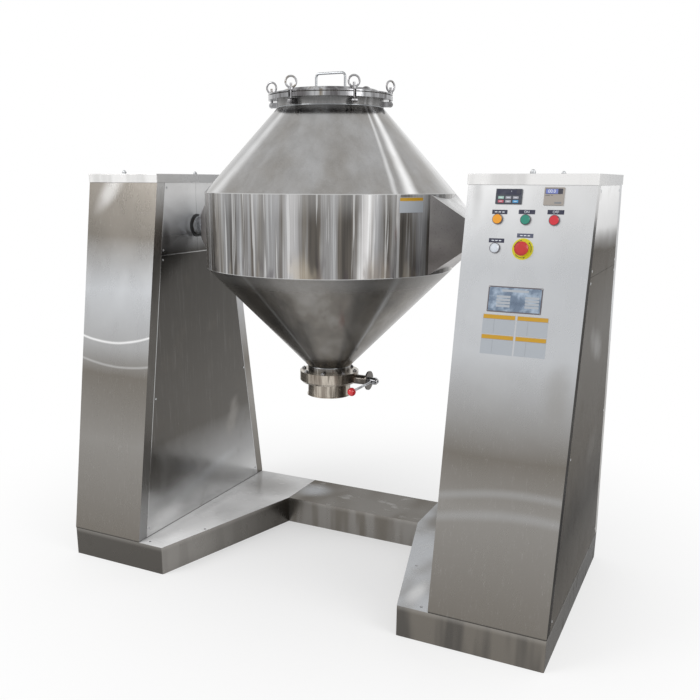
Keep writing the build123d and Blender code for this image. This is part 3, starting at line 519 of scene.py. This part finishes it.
def mirrorSteel(name, dark, light, bands, roughness=0.14, tall=2.0, metallic=1.0, shaded=None):
    # Polished turned parts: short bright and dark strips round the axis, as painted reflections, and lighter upward
    # faces, as painted light; painted shade beyond shaded in X
    def build(sheet):
        strips = sheet.noise((bands, bands, tall), detail=4, rough=0.65)
        colour = sheet.ramp(strips, [(0.0, dark), (0.40, dark), (0.50, [(a + b) / 2 for a, b in zip(dark, light)]),
                                     (0.56, light), (0.62, grey(120, 0.06)), (0.72, light), (1.0, light)])
        cloud = sheet.noise((1, 1, 1), scale=7, detail=2).between(0.35, 0.65)
        flat = sheet.blend(cloud, (*[c * 0.86 for c in light], 1), (*light, 1))
        colour = sheet.blend(sheet.normal()[2].between(0.75, 0.95), colour, flat)
        if shaded is not None:
            colour = sheet.blend(sheet.parts()[0].between(shaded, shaded + 0.01) * 0.65, colour, (*grey(62), 1))
        dull = sheet.noise((1, 1, 1), scale=40, detail=4).between(0.5, 0.7)
        return surface(sheet, colour, dull * 0.1 + roughness, metallic, dull, 0.00005)
    return makeFinish(name, build)


neckSteel = mirrorSteel("neckSteel", seen(96, 94, 95), seen(180, 181, 183), 14)
valveSteel = mirrorSteel("valveSteel", seen(112, 102, 92), seen(196, 188, 176), 20, 0.2, 2, 0.8, 0.075)
boltSteel = mirrorSteel("boltSteel", seen(118, 116, 116), seen(170, 170, 172), 12, 0.22, 12)
shaftSteel = mirrorSteel("shaftSteel", seen(120, 120, 122), seen(200, 202, 206), 30, 0.18, 4)


def plainMetal(name, tone, roughness, scale=120.0, metallic=1.0, wear=0.2):
    def build(sheet):
        spread = sheet.noise((1, 1, 1), scale=scale, detail=4)
        colour = sheet.blend(spread.between(0.3, 0.7) * wear, (*tone, 1), (*[c * 0.55 for c in tone], 1))
        return surface(sheet, colour, spread * 0.15 + roughness, metallic, spread, 0.0001)
    return makeFinish(name, build)


def plastic(name, tone, roughness=0.25, coat=0.0, dust=0.12, texture=900.0, depth=0.00003):
    def build(sheet):
        fine = sheet.noise((1, 1, 1), scale=texture, detail=2)
        film = sheet.noise((1, 1, 1), scale=45, detail=4).between(0.5, 0.75)
        colour = sheet.blend(film * dust, (*tone, 1), (*[c * 0.6 + 0.12 for c in tone], 1))
        return surface(sheet, colour, film * 0.15 + roughness, 0.0, fine, depth, coat_weight=coat,
                       coat_roughness=0.06)
    return makeFinish(name, build)


paintedFrame = plainMetal("paintedFrame", seen(92, 98, 104), 0.45, 30, 0.0)
castHousing = plainMetal("castHousing", seen(58, 84, 118), 0.4, 45, 0.0)
motorShell = plainMetal("motorShell", seen(74, 92, 116), 0.38, 60, 0.0)
bearingSteel = plainMetal("bearingSteel", seen(150, 150, 152), 0.22)
rodSteel = plainMetal("rodSteel", seen(160, 162, 164), 0.16, 12, 1.0, 0.35)
fastenerSteel = plainMetal("fastenerSteel", seen(188, 190, 192), 0.24, 90, 0.7)
trayZinc = plainMetal("trayZinc", seen(168, 172, 176), 0.4, 25)
sealRubber = plastic("sealRubber", seen(30, 30, 33), 0.5, 0.0, 0.3, 300.0, 0.0001)
gasketRubber = plastic("gasketRubber", seen(206, 202, 192), 0.5, 0.0, 0.2, 300.0)
knobRed = plastic("knobRed", seen(206, 26, 36), 0.16, 0.6, 0.06)
yellowGloss = plastic("yellowGloss", seen(220, 146, 8), 0.2, 0.5, 0.05)
greenGloss = plastic("greenGloss", seen(6, 124, 104), 0.2, 0.5, 0.05)
redGloss = plastic("redGloss", seen(192, 20, 38), 0.2, 0.5, 0.05)
estopRed = plastic("estopRed", seen(178, 30, 28), 0.34, 0.2, 0.15)
plateYellow = plastic("plateYellow", seen(206, 198, 18), 0.35, 0.0, 0.1)
lensWhite = plastic("lensWhite", seen(200, 206, 214), 0.18, 0.5, 0.1)
deviceDark = plastic("deviceDark", seen(52, 56, 66), 0.42, 0.0, 0.18)
deviceGrey = plastic("deviceGrey", seen(152, 145, 138), 0.45, 0.0, 0.15)
plungerGrey = plastic("plungerGrey", seen(120, 122, 126), 0.4)
bezelMetal = plainMetal("bezelMetal", seen(108, 104, 108), 0.24, 200)
labelNavy = plastic("labelNavy", seen(34, 36, 58), 0.35, 0.0, 0.2)
labelSlate = plastic("labelSlate", seen(78, 82, 100), 0.35, 0.0, 0.2)
printWhite = plastic("printWhite", seen(214, 218, 226), 0.4)
cardWhite = plastic("cardWhite", seen(160, 165, 171), 0.4, 0.0, 0.15)
cardAmber = plastic("cardAmber", seen(182, 138, 20), 0.4, 0.0, 0.15)
inkDark = plastic("inkDark", seen(40, 40, 40), 0.5)
displayBlue = plastic("displayBlue", seen(104, 116, 176), 0.12, 0.8, 0.4)
displayDark = plastic("displayDark", seen(34, 34, 52), 0.1, 0.8, 0.2)
keyGrey = plastic("keyGrey", seen(150, 150, 158), 0.4)
keyGreen = plastic("keyGreen", seen(150, 184, 172), 0.4)
keyRed = plastic("keyRed", seen(178, 84, 100), 0.4)
keyBlue = plastic("keyBlue", seen(70, 142, 190), 0.4)
print("small finishes made")

finishes = [
    (leftFront, ["left_front_cover"]),
    (rightFront, ["right_front_cover"]),
    (leftInner, ["left_inner_lower_panel", "left_inner_upper_panels"]),
    (rightOuter, ["right_outer_panels"]),
    (rearSheet, ["left_rear_cover", "right_rear_cover", "left_outer_panels", "right_inner_lower_panel",
                 "right_inner_upper_panels"]),
    (leftPlinth, ["left_plinth_cover"]),
    (rightPlinth, ["right_plinth_cover"]),
    (beamSteel, ["rear_beam_cover"]),
    (capSteel, ["left_column_cap", "right_column_cap"]),
    (bandSteel, ["drum_band"]),
    (upperSteel, ["upper_cone"]),
    (lowerSteel, ["lower_cone"]),
    (housingSteel, ["trunnion_boxes"]),
    (neckSteel, ["neck_flange", "lid", "bolt_lugs"]),
    (valveSteel, ["outlet_flange", "valve_body"]),
    (boltSteel, ["lug_pins"] + ["swing_bolt_%d" % k for k in range(1, 7)]),
    (rodSteel, ["lid_handle"]),
    (fastenerSteel, ["cover_fasteners"]),
    (shaftSteel, ["trunnion_shafts", "valve_disc", "valve_lever"]),
    (paintedFrame, ["base_frame", "left_column_frame", "right_column_frame"]),
    (castHousing, ["gear_reducer", "pillow_blocks"]),
    (motorShell, ["drive_motor", "motor_fan_cowl"]),
    (bearingSteel, ["bearing_inserts", "shaft_coupling"]),
    (trayZinc, ["control_box"]),
    (sealRubber, ["shaft_seals"]),
    (gasketRubber, ["lid_gasket", "valve_seat"]),
    (knobRed, ["lever_knob"]),
    (yellowGloss, ["yellow_button"]),
    (greenGloss, ["green_button"]),
    (redGloss, ["red_button"]),
    (estopRed, ["estop_head"]),
    (plungerGrey, ["estop_stem"]),
    (plateYellow, ["estop_plate"]),
    (lensWhite, ["indicator_lens"]),
    (deviceDark, ["speed_keypad"]),
    (deviceGrey, ["process_timer"]),
    (bezelMetal, ["operator_bezels"]),
]
dressed = set()
for material, names in finishes:
    for name in names:
        data = nodes[name].data
        data.materials.clear()
        data.materials.append(material)
        dressed.add(name)
bare = sorted(set(nodes) - dressed)
print("nodes dressed:", len(dressed), "without a finish:", bare)


# Mesh work

class Form:
    # Gathers points and faces in the shared frame, then becomes one piece
    def __init__(self):
        self.points = []
        self.faces = []

    def add(self, points, faces, place):
        start = len(self.points)
        self.points += [place @ Vector(point) for point in points]
        self.faces += [[start + index for index in face] for face in faces]

    def slab(self, outline, low, high, place=Matrix()):
        # Flat outline in X and Y, given a thickness
        count = len(outline)
        points = [(x, y, z) for z in (low, high) for x, y in outline]
        sides = [[i, (i + 1) % count, count + (i + 1) % count, count + i] for i in range(count)]
        self.add(points, [list(range(count))[::-1], list(range(count, 2 * count)), *sides], place)

    def lathe(self, profile, place=Matrix(), steps=32, closed=False):
        # Profile of radius and height, turned about Z
        count = len(profile)
        points = [(r * math.cos(2 * math.pi * s / steps), r * math.sin(2 * math.pi * s / steps), h)
                  for s in range(steps) for r, h in profile]
        faces = []
        for s in range(steps):
            here, there = s * count, (s + 1) % steps * count
            for i in range(count if closed else count - 1):
                j = (i + 1) % count
                faces.append([here + i, there + i, there + j, here + j])
        if not closed:
            faces.append([s * count for s in range(steps)][::-1])
            faces.append([s * count + count - 1 for s in range(steps)])
        self.add(points, faces, place)

    def become(self, name, body, material, slot, bevel=0.0, sharp=40):
        mesh = bpy.data.meshes.new(name)
        mesh.from_pydata(self.points, [], self.faces)
        shape = bmesh.new()
        shape.from_mesh(mesh)
        bmesh.ops.recalc_face_normals(shape, faces=shape.faces)
        shape.to_mesh(mesh)
        shape.free()
        mesh.materials.append(material)
        mesh.shade_smooth()
        mesh.set_sharp_from_angle(angle=math.radians(sharp))
        piece = bpy.data.objects.new(name, mesh)
        scene.collection.objects.link(piece)
        if bevel:
            rounding = piece.modifiers.new("rounding", "BEVEL")
            rounding.width = bevel
            rounding.segments = 2
            rounding.limit_method = "ANGLE"
            rounding.harden_normals = True
        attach(piece, body)
        return piece


def roundedRectangle(left, right, low, high, radius, steps=4):
    # Outline with round corners, anticlockwise
    outline = []
    corners = ((right - radius, high - radius, 0), (left + radius, high - radius, 90),
               (left + radius, low + radius, 180), (right - radius, low + radius, 270))
    for x, y, start in corners:
        for step in range(steps + 1):
            turn = math.radians(start + 90 * step / steps)
            outline.append((x + radius * math.cos(turn), y + radius * math.sin(turn)))
    return outline


def polygon(radius, sides, phase=0.0):
    return [(radius * math.cos(2 * math.pi * k / sides + phase), radius * math.sin(2 * math.pi * k / sides + phase))
            for k in range(sides)]


def pointing(direction, place):
    # Matrix whose Z points along a direction
    return Matrix.Translation(place) @ Vector(direction).to_track_quat("Z", "Y").to_matrix().to_4x4()


def letters(name, text, size, thickness, place, body, material):
    # Flat characters, centred on the place
    data = bpy.data.curves.new(name, "FONT")
    data.body = text
    data.size = size
    data.extrude = thickness / 2
    data.align_x = "CENTER"
    data.align_y = "CENTER"
    draft = bpy.data.objects.new(name + "Draft", data)
    scene.collection.objects.link(draft)
    bpy.context.view_layer.update()
    mesh = bpy.data.meshes.new_from_object(draft.evaluated_get(bpy.context.evaluated_depsgraph_get()))
    bpy.data.objects.remove(draft)
    mesh.transform(place)
    mesh.materials.clear()
    mesh.materials.append(material)
    mesh.name = name
    piece = bpy.data.objects.new(name, mesh)
    scene.collection.objects.link(piece)
    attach(piece, body)
    return piece


# Operator panel

panelPlane = {"x": 0.712, "height": 1.382, "front": -0.22664, "lean": math.atan(0.165517)}


def panelMatrix(x=0.0, drop=0.0, out=0.0):
    # X along the panel, Y up its slope, Z out of it
    lean = panelPlane["lean"]
    along, up, away = Vector((1, 0, 0)), Vector((0, math.sin(lean), math.cos(lean))), \
        Vector((0, -math.cos(lean), math.sin(lean)))
    matrix = Matrix((along, up, away)).transposed().to_4x4()
    origin = Vector((panelPlane["x"], panelPlane["front"], panelPlane["height"]))
    matrix.translation = origin + along * x - up * drop + away * out
    return matrix


def panelSlab(form, sides, radius, inside, outside):
    # Sides are left, right, top and foot, the last two measured down the panel
    left, right, top, foot = sides
    form.slab(roundedRectangle(left, right, -foot, -top, radius), inside, outside, panelMatrix())


def panelPiece(name, sides, radius, inside, outside, material, slot, bevel=0.0):
    form = Form()
    panelSlab(form, sides, radius, inside, outside)
    form.become(name, "frame", material, slot, bevel)


labelPlates = {
    "thickness": 0.0008, "corner": 0.0006, "letter": 0.0098, "letterDepth": 0.0003,
    "plates": [("yellow_label", -0.1033, -0.0594, 0.0723, 0.0843), ("green_label", -0.0271, 0.0192, 0.0709, 0.083),
               ("red_label", 0.0534, 0.099, 0.0700, 0.0821), ("indicator_label", -0.105, -0.0603, 0.1525, 0.1645),
               ("estop_label", -0.025, 0.0209, 0.1367, 0.1483)],
    "words": {"green_label": "ON", "red_label": "OFF"},
    "bar": {"pitch": 0.0105, "half": 0.0036, "thin": 0.0012, "corner": 0.0005},
}


def makeLabelPlates():
    thick, bar = labelPlates["thickness"], labelPlates["bar"]
    for name, left, right, top, foot in labelPlates["plates"]:
        panelPiece(name, (left, right, top, foot), labelPlates["corner"], 0, thick,
                   labelSlate if name == "estop_label" else labelNavy, "device_dark", 0.0002)
        middle = ((left + right) / 2, (top + foot) / 2)
        if name in labelPlates["words"]:
            letters(name + "_word", labelPlates["words"][name], labelPlates["letter"],
                    labelPlates["letterDepth"], panelMatrix(*middle, thick), "frame", printWhite)
        else:
            bars = Form()
            for step in (-1, 0, 1):   # a plain row of bars instead of words
                x = middle[0] + step * bar["pitch"]
                sides = (x - bar["half"], x + bar["half"], middle[1] - bar["thin"], middle[1] + bar["thin"])
                panelSlab(bars, sides, bar["corner"], thick - 0.0001, thick + 0.0002)
            bars.become(name + "_bars", "frame", printWhite, "lens_white")


makeLabelPlates()

keypadFace = {
    "proud": 0.005, "frame": (-0.0925, -0.0255, 0.0165, 0.0305), "window": (-0.0375, -0.0265, 0.0175, 0.0275),
    "lamp": (-0.052, 0.021),
    "keys": {"columns": (-0.0805, -0.0595, -0.0385), "rows": (0.0385, 0.0490), "half": (0.0080, 0.0036)},
}


def makeKeypadFace():
    out = keypadFace["proud"]
    panelPiece("keypad_display_frame", keypadFace["frame"], 0.001, out - 0.0002, out + 0.0003, labelNavy,
               "device_dark", 0.0002)
    panelPiece("keypad_display", keypadFace["window"], 0.0006, out, out + 0.0006, displayDark, "device_dark",
               0.0001)
    lamp = Form()
    lamp.lathe([(0.0009, 0.0), (0.0009, 0.0004), (0.0004, 0.0007)],
               panelMatrix(*keypadFace["lamp"], out + 0.0002), 16)
    lamp.become("keypad_lamp", "frame", printWhite, "lens_white")
    keys = keypadFace["keys"]
    tones = ((keyGreen, keyGrey, keyGrey), (keyRed, keyGrey, keyBlue))
    halfX, halfY = keys["half"]
    for row, drop in enumerate(keys["rows"]):
        for column, x in enumerate(keys["columns"]):
            mark = "keypad_key_%d_%d" % (row + 1, column + 1)
            panelPiece(mark, (x - halfX, x + halfX, drop - halfY, drop + halfY), 0.001, out - 0.0004, out + 0.0009,
                       tones[row][column], "device_dark", 0.0003)
            panelPiece(mark + "_legend", (x - 0.004, x + 0.004, drop - 0.0007, drop + 0.0007), 0.0003,
                       out + 0.0008, out + 0.001, printWhite, "lens_white")


makeKeypadFace()

timerFace = {"proud": 0.005, "window": (0.0432, 0.0905, 0.0128, 0.0275),
             "glass": (0.0442, 0.0775, 0.0138, 0.0265),
             "digits": "00.0", "digitSize": 0.0125, "digitPlace": (0.0607, 0.0202),
             "marks": ((0.0432, 0.0560, 0.0306, 0.0318), (0.0590, 0.0640, 0.0306, 0.0318)),
             "key": (0.070, 0.089, 0.0490, 0.0535)}


def makeTimerFace():
    out = timerFace["proud"]
    panelPiece("timer_window", timerFace["window"], 0.0008, out - 0.0002, out + 0.0005, displayDark, "device_grey",
               0.0001)
    panelPiece("timer_display", timerFace["glass"], 0.0006, out + 0.0004, out + 0.0007, displayBlue, "device_grey")
    letters("timer_digits", timerFace["digits"], timerFace["digitSize"], 0.0002,
            panelMatrix(*timerFace["digitPlace"], out + 0.0008), "frame", printWhite)
    line = Form()
    for sides in timerFace["marks"]:
        panelSlab(line, sides, 0.0004, out, out + 0.0002)
    line.become("timer_marks", "frame", deviceDark, "device_dark")
    panelPiece("timer_reset_key", timerFace["key"], 0.0012, out - 0.0002, out + 0.0006, plungerGrey, "device_grey",
               0.0002)


makeTimerFace()

estopMarks = {"x": -0.0052, "drop": 0.180, "radius": 0.0247, "count": 3, "sweep": 62.0, "out": 0.0015,
              "half": 0.0008, "head": 0.0026, "tip": 0.16}


def makeEstopMarks():
    # Plain turning arrows round the yellow plate
    arrows = Form()
    for k in range(estopMarks["count"]):
        start = math.radians(360 / estopMarks["count"] * k + 100)
        sweep, middle = math.radians(estopMarks["sweep"]), estopMarks["radius"]
        inner, outer = middle - estopMarks["half"], middle + estopMarks["half"]
        turns = [start + sweep * step / 10 for step in range(11)]
        outline = [(outer * math.cos(t), outer * math.sin(t)) for t in turns]
        for radius, t in ((middle + estopMarks["head"], turns[-1]), (middle, turns[-1] + estopMarks["tip"]),
                          (middle - estopMarks["head"], turns[-1])):
            outline.append((radius * math.cos(t), radius * math.sin(t)))
        outline += [(inner * math.cos(t), inner * math.sin(t)) for t in reversed(turns)]
        arrows.slab(outline, -0.0001, 0.0002, panelMatrix(estopMarks["x"], estopMarks["drop"], estopMarks["out"]))
    arrows.become("estop_arrows", "frame", inkDark, "device_dark")


makeEstopMarks()

nameplate = {"left": -0.0912, "right": 0.0653, "top": 0.2869, "foot": 0.361, "thickness": 0.0012,
             "border": 0.0035, "rivet": 0.0022}


def plateFinish(sheet):
    # Anodised plate, silver-blue with a rubbed dark ground
    spread = sheet.noise((1, 1, 1), scale=34, detail=5)
    colour = sheet.ramp(spread, [(0.0, seen(84, 96, 114)), (0.45, seen(112, 126, 144)), (0.60, seen(158, 172, 188)),
                                 (1.0, seen(196, 208, 220))])
    return surface(sheet, colour, spread * 0.2 + 0.2, 0.8, spread, 0.0001)


plateBlue = makeFinish("plateBlue", plateFinish)


def makeNameplate():
    left, right = nameplate["left"], nameplate["right"]
    low, high, thick, edge = -nameplate["foot"], -nameplate["top"], nameplate["thickness"], nameplate["border"]
    plate = Form()
    plate.slab(roundedRectangle(left, right, low, high, 0.002), 0, thick, panelMatrix())
    plate.become("nameplate", "frame", bezelMetal, "bezel_metal", 0.0003)
    ground = Form()
    ground.slab(roundedRectangle(left + edge, right - edge, low + edge, high - edge, 0.001), thick - 0.0002,
                thick + 0.0002, panelMatrix())
    ground.become("nameplate_ground", "frame", plateBlue, "bezel_metal")
    fields = Form()
    for x in (left + 0.026, right - 0.048):
        for row in range(4):     # blank fields, nothing stamped in them
            top = high - 0.026 - row * 0.0088
            fields.slab(roundedRectangle(x, x + 0.040, top - 0.0066, top, 0.0006), thick, thick + 0.0004,
                        panelMatrix())
    fields.slab(roundedRectangle(left + 0.040, right - 0.040, high - 0.015, high - 0.0085, 0.001), thick,
                thick + 0.0004, panelMatrix())
    fields.become("nameplate_fields", "frame", cardWhite, "lens_white")
    rivets = Form()
    for x in (left + 0.003, right - 0.003):
        for y in (low + 0.003, high - 0.003):
            r = nameplate["rivet"]
            profile = [(r, 0.0), (r, 0.0004), (r * 0.8, 0.0011), (r * 0.35, 0.0015)]
            rivets.lathe(profile, panelMatrix(x, -y, thick), 20)
    rivets.become("nameplate_rivets", "frame", boltSteel, "bezel_metal")


makeNameplate()

cards = {"left": -0.0995, "split": (-0.0050, 0.0000), "right": 0.0890, "top": 0.368, "middle": (0.4250, 0.4262),
         "foot": 0.483, "header": 0.0125, "thickness": 0.0004}


def makeCards():
    # Four plain cards, nothing printed on them
    thick = cards["thickness"]
    columns = ((cards["left"], cards["split"][0]), (cards["split"][1], cards["right"]))
    rows = ((cards["top"], cards["middle"][0]), (cards["middle"][1], cards["foot"]))
    body, headers, rules = Form(), Form(), Form()
    for left, right in columns:
        for top, foot in rows:
            body.slab(roundedRectangle(left, right, -foot, -top, 0.001), 0, thick, panelMatrix())
            line = top + cards["header"]
            headers.slab(roundedRectangle(left + 0.001, right - 0.001, -line, -top - 0.001, 0.0006), thick - 0.0001,
                         thick + 0.0001, panelMatrix())
            third = left + (right - left) * 0.36
            rules.slab(roundedRectangle(third - 0.0003, third + 0.0003, -foot + 0.003, -line - 0.002, 0.0002),
                       thick - 0.0001, thick + 0.0001, panelMatrix())
            rules.slab(roundedRectangle(left + 0.001, right - 0.001, -line - 0.0007, -line, 0.0002),
                       thick - 0.0001, thick + 0.00015, panelMatrix())
    body.become("card_sheets", "frame", cardWhite, "lens_white")
    headers.become("card_headers", "frame", cardAmber, "plate_yellow")
    rules.become("card_rules", "frame", plungerGrey, "device_grey")


makeCards()
print("operator panel done")


# Drum details

bandCard = {"start": -34.2, "end": -21.4, "low": 1.296, "high": 1.341, "header": 0.0105, "thickness": 0.0005}


def curvedPatch(name, start, end, low, high, inside, outside, material, slot, steps=10):
    # Thin patch that lies round the band
    patch = Form()
    points, faces = [], []
    for step in range(steps + 1):
        turn = math.radians(start + (end - start) * step / steps)
        for radius in (inside, outside):
            for z in (low, high):
                points.append((drum["x"] + radius * math.cos(turn), radius * math.sin(turn), z))
    for step in range(steps):
        a, b = 4 * step, 4 * step + 4
        faces += [[a + i, a + j, b + j, b + i] for i, j in ((0, 1), (1, 3), (3, 2), (2, 0))]
    faces += [[0, 1, 3, 2], [4 * steps + i for i in (0, 1, 3, 2)]]
    patch.add(points, faces, Matrix())
    return patch.become(name, "drum", material, slot)


def makeBandCard():
    r, card = drum["radius"], bandCard
    face = r + card["thickness"]
    curvedPatch("band_card", card["start"], card["end"], card["low"], card["high"], r, face, cardWhite,
                "lens_white")
    curvedPatch("band_card_header", card["start"] + 0.2, card["end"] - 0.2, card["high"] - card["header"],
                card["high"] - 0.001, face - 0.0001, face + 0.0001, cardAmber, "plate_yellow")


makeBandCard()

seamBeads = {"width": 0.0022, "proud": 0.0007, "steps": 90, "neck": 0.1776, "outlet": 0.0766, "sunk": 0.0005}


def makeSeamBeads():
    # Low ground welds where the upper cone meets the neck and the lower cone meets the outlet
    beads = Form()
    width, proud = seamBeads["width"], seamBeads["proud"]
    place = Matrix.Translation((drum["x"], 0, 0))
    for radius, height in ((seamBeads["neck"], drum["neckFoot"] + seamBeads["sunk"]),
                           (seamBeads["outlet"], drum["outletTop"] - seamBeads["sunk"])):
        profile = [(radius + (width + proud) * math.cos(t) * 0.5, height + width * math.sin(t))
                   for t in [math.pi * k / 6 - math.pi / 2 for k in range(7)]]
        beads.lathe(profile + [(radius - 0.001, height + width), (radius - 0.001, height - width)], place,
                    seamBeads["steps"], True)
    beads.become("neck_weld_beads", "drum", rodSteel, "polished_sheet")


makeSeamBeads()

flangeBolts = {"circle": 0.0945, "count": 8, "phase": 12.0, "hex": 0.0075, "head": 0.0045, "washer": 0.0085,
               "washerHeight": 0.0010}


def makeFlangeBolts():
    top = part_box("outlet_flange")[1].z
    bolts = Form()
    for k in range(flangeBolts["count"]):
        turn = math.radians(360 / flangeBolts["count"] * k + flangeBolts["phase"])
        circle = flangeBolts["circle"]
        spot = Vector((drum["x"] + circle * math.cos(turn), circle * math.sin(turn), top))
        washer = flangeBolts["washerHeight"]
        bolts.lathe([(flangeBolts["washer"], 0), (flangeBolts["washer"], washer)], Matrix.Translation(spot), 24)
        bolts.slab(polygon(flangeBolts["hex"], 6, turn), washer, washer + flangeBolts["head"],
                   Matrix.Translation(spot))
        bolts.lathe([(0.0034, 0), (0.0034, 0.0022), (0.0026, 0.0030)],
                    Matrix.Translation(spot + Vector((0, 0, washer + flangeBolts["head"]))), 20)
    bolts.become("outlet_flange_bolts", "drum", boltSteel, "satin_steel", 0.0004)


makeFlangeBolts()


valveTrim = {"stem": 0.7035, "screwY": 0.019, "screwZ": 0.014, "plate": 0.005}


def makeValveTrim():
    # Clamp screws on the locking plate and the nut at the end of the stem
    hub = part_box("valve_lever")
    stem = valveTrim["stem"]
    nut = Form()
    place = pointing((1, 0, 0), (hub[1].x, 0, stem))
    nut.lathe([(0.0095, 0), (0.0095, 0.0012)], place, 24)
    nut.slab(polygon(0.0085, 6), 0.0012, 0.0062, place)
    nut.lathe([(0.0036, 0), (0.0036, 0.0024), (0.0026, 0.0032)], place @ Matrix.Translation((0, 0, 0.0062)), 20)
    nut.become("stem_nut", "outlet_valve", boltSteel, "satin_steel", 0.0004)
    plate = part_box("valve_body")[1].x
    clamp = Form()
    for z in (valveTrim["screwZ"], -valveTrim["screwZ"]):
        for y in (-valveTrim["screwY"], valveTrim["screwY"]):
            spot = (plate - valveTrim["plate"], y, stem + z)
            clamp.slab(polygon(0.0045, 6), 0, 0.0035, pointing((-1, 0, 0), spot))
    clamp.become("locking_plate_screws", "drum", boltSteel, "satin_steel", 0.0003)


makeValveTrim()
print("drum details done")


# Plinth screws

plinthScrews = {"radius": 0.0045, "proud": 0.0013,
                "places": [(-0.560, -0.412), (-0.445, -0.227), (0.500, -0.412), (0.385, -0.150)]}


def makePlinthScrews():
    screws = Form()
    r, proud = plinthScrews["radius"], plinthScrews["proud"]
    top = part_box("left_plinth_cover")[1].z
    for x, y in plinthScrews["places"]:
        screws.lathe([(r, 0), (r, proud * 0.3), (r * 0.8, proud * 0.8), (r * 0.35, proud)],
                     Matrix.Translation((x, y, top)), 24)
    screws.become("plinth_screws", "frame", boltSteel, "satin_steel")


makePlinthScrews()


# Studio

studio = {"floorSize": 9.0, "floorTone": (0.9, 0.9, 0.9), "fadeStart": 0.2, "fadeEnd": 2.1, "nearGlow": 0.45,
          "worldLight": 0.72, "key": {"place": (-2.6, -3.4, 3.6), "size": 2.6, "power": 95},
          "fill": {"place": (3.4, -1.2, 2.6), "size": 2.2, "power": 38}}


def directView(sheet):
    # 1 for the camera and for what metal and glass show
    path = [sheet.add("LightPath", None, None, out)
            for out in ("Is Camera Ray", "Is Glossy Ray", "Is Transmission Ray")]
    return sheet.add("Math", {"operation": "MINIMUM"}, {0: path[0] + path[1] + path[2], 1: 1.0})


def floorFinish(sheet):
    # Pale floor that turns to the white background with distance
    x, y, z = sheet.parts()
    away = (x * x + y * y) ** 0.5
    paint = sheet.add("BsdfDiffuse", None, {"Color": (*studio["floorTone"], 1)})
    glow = sheet.add("Emission", None, {"Color": (1, 1, 1, 1), "Strength": 1.0})
    far = away.between(studio["fadeStart"], studio["fadeEnd"])
    share = (far * (1 - studio["nearGlow"]) + studio["nearGlow"]) * directView(sheet)
    return sheet.add("MixShader", None, {0: share, 1: paint, 2: glow})


def makeStudio():
    half = studio["floorSize"] / 2
    mesh = bpy.data.meshes.new("floor")
    mesh.from_pydata([(-half, -half, 0), (half, -half, 0), (half, half, 0), (-half, half, 0)], [], [(0, 1, 2, 3)])
    mesh.materials.append(makeFinish("floorPaint", floorFinish))
    floor = bpy.data.objects.new("floor", mesh)
    floor.location = (0, 0, -0.0005)
    scene.collection.objects.link(floor)
    world = bpy.data.worlds.new("studio")
    scene.world = world
    world.use_nodes = True
    sheet = Sheet(world.node_tree)
    strength = directView(sheet) * (1 - studio["worldLight"]) + studio["worldLight"]
    light = sheet.add("Background", None, {"Color": (1, 1, 1, 1), "Strength": strength})
    sheet.add("OutputWorld", None, {"Surface": light})
    for name in ("key", "fill"):
        lamp = bpy.data.lights.new(name, "AREA")
        lamp.shape = "DISK"
        lamp.size = studio[name]["size"]
        lamp.energy = studio[name]["power"]
        holder = bpy.data.objects.new(name, lamp)
        scene.collection.objects.link(holder)
        spot = Vector(studio[name]["place"])
        holder.matrix_world = pointing(spot - Vector((0, 0, 0.9)), spot)


makeStudio()
print("studio done")
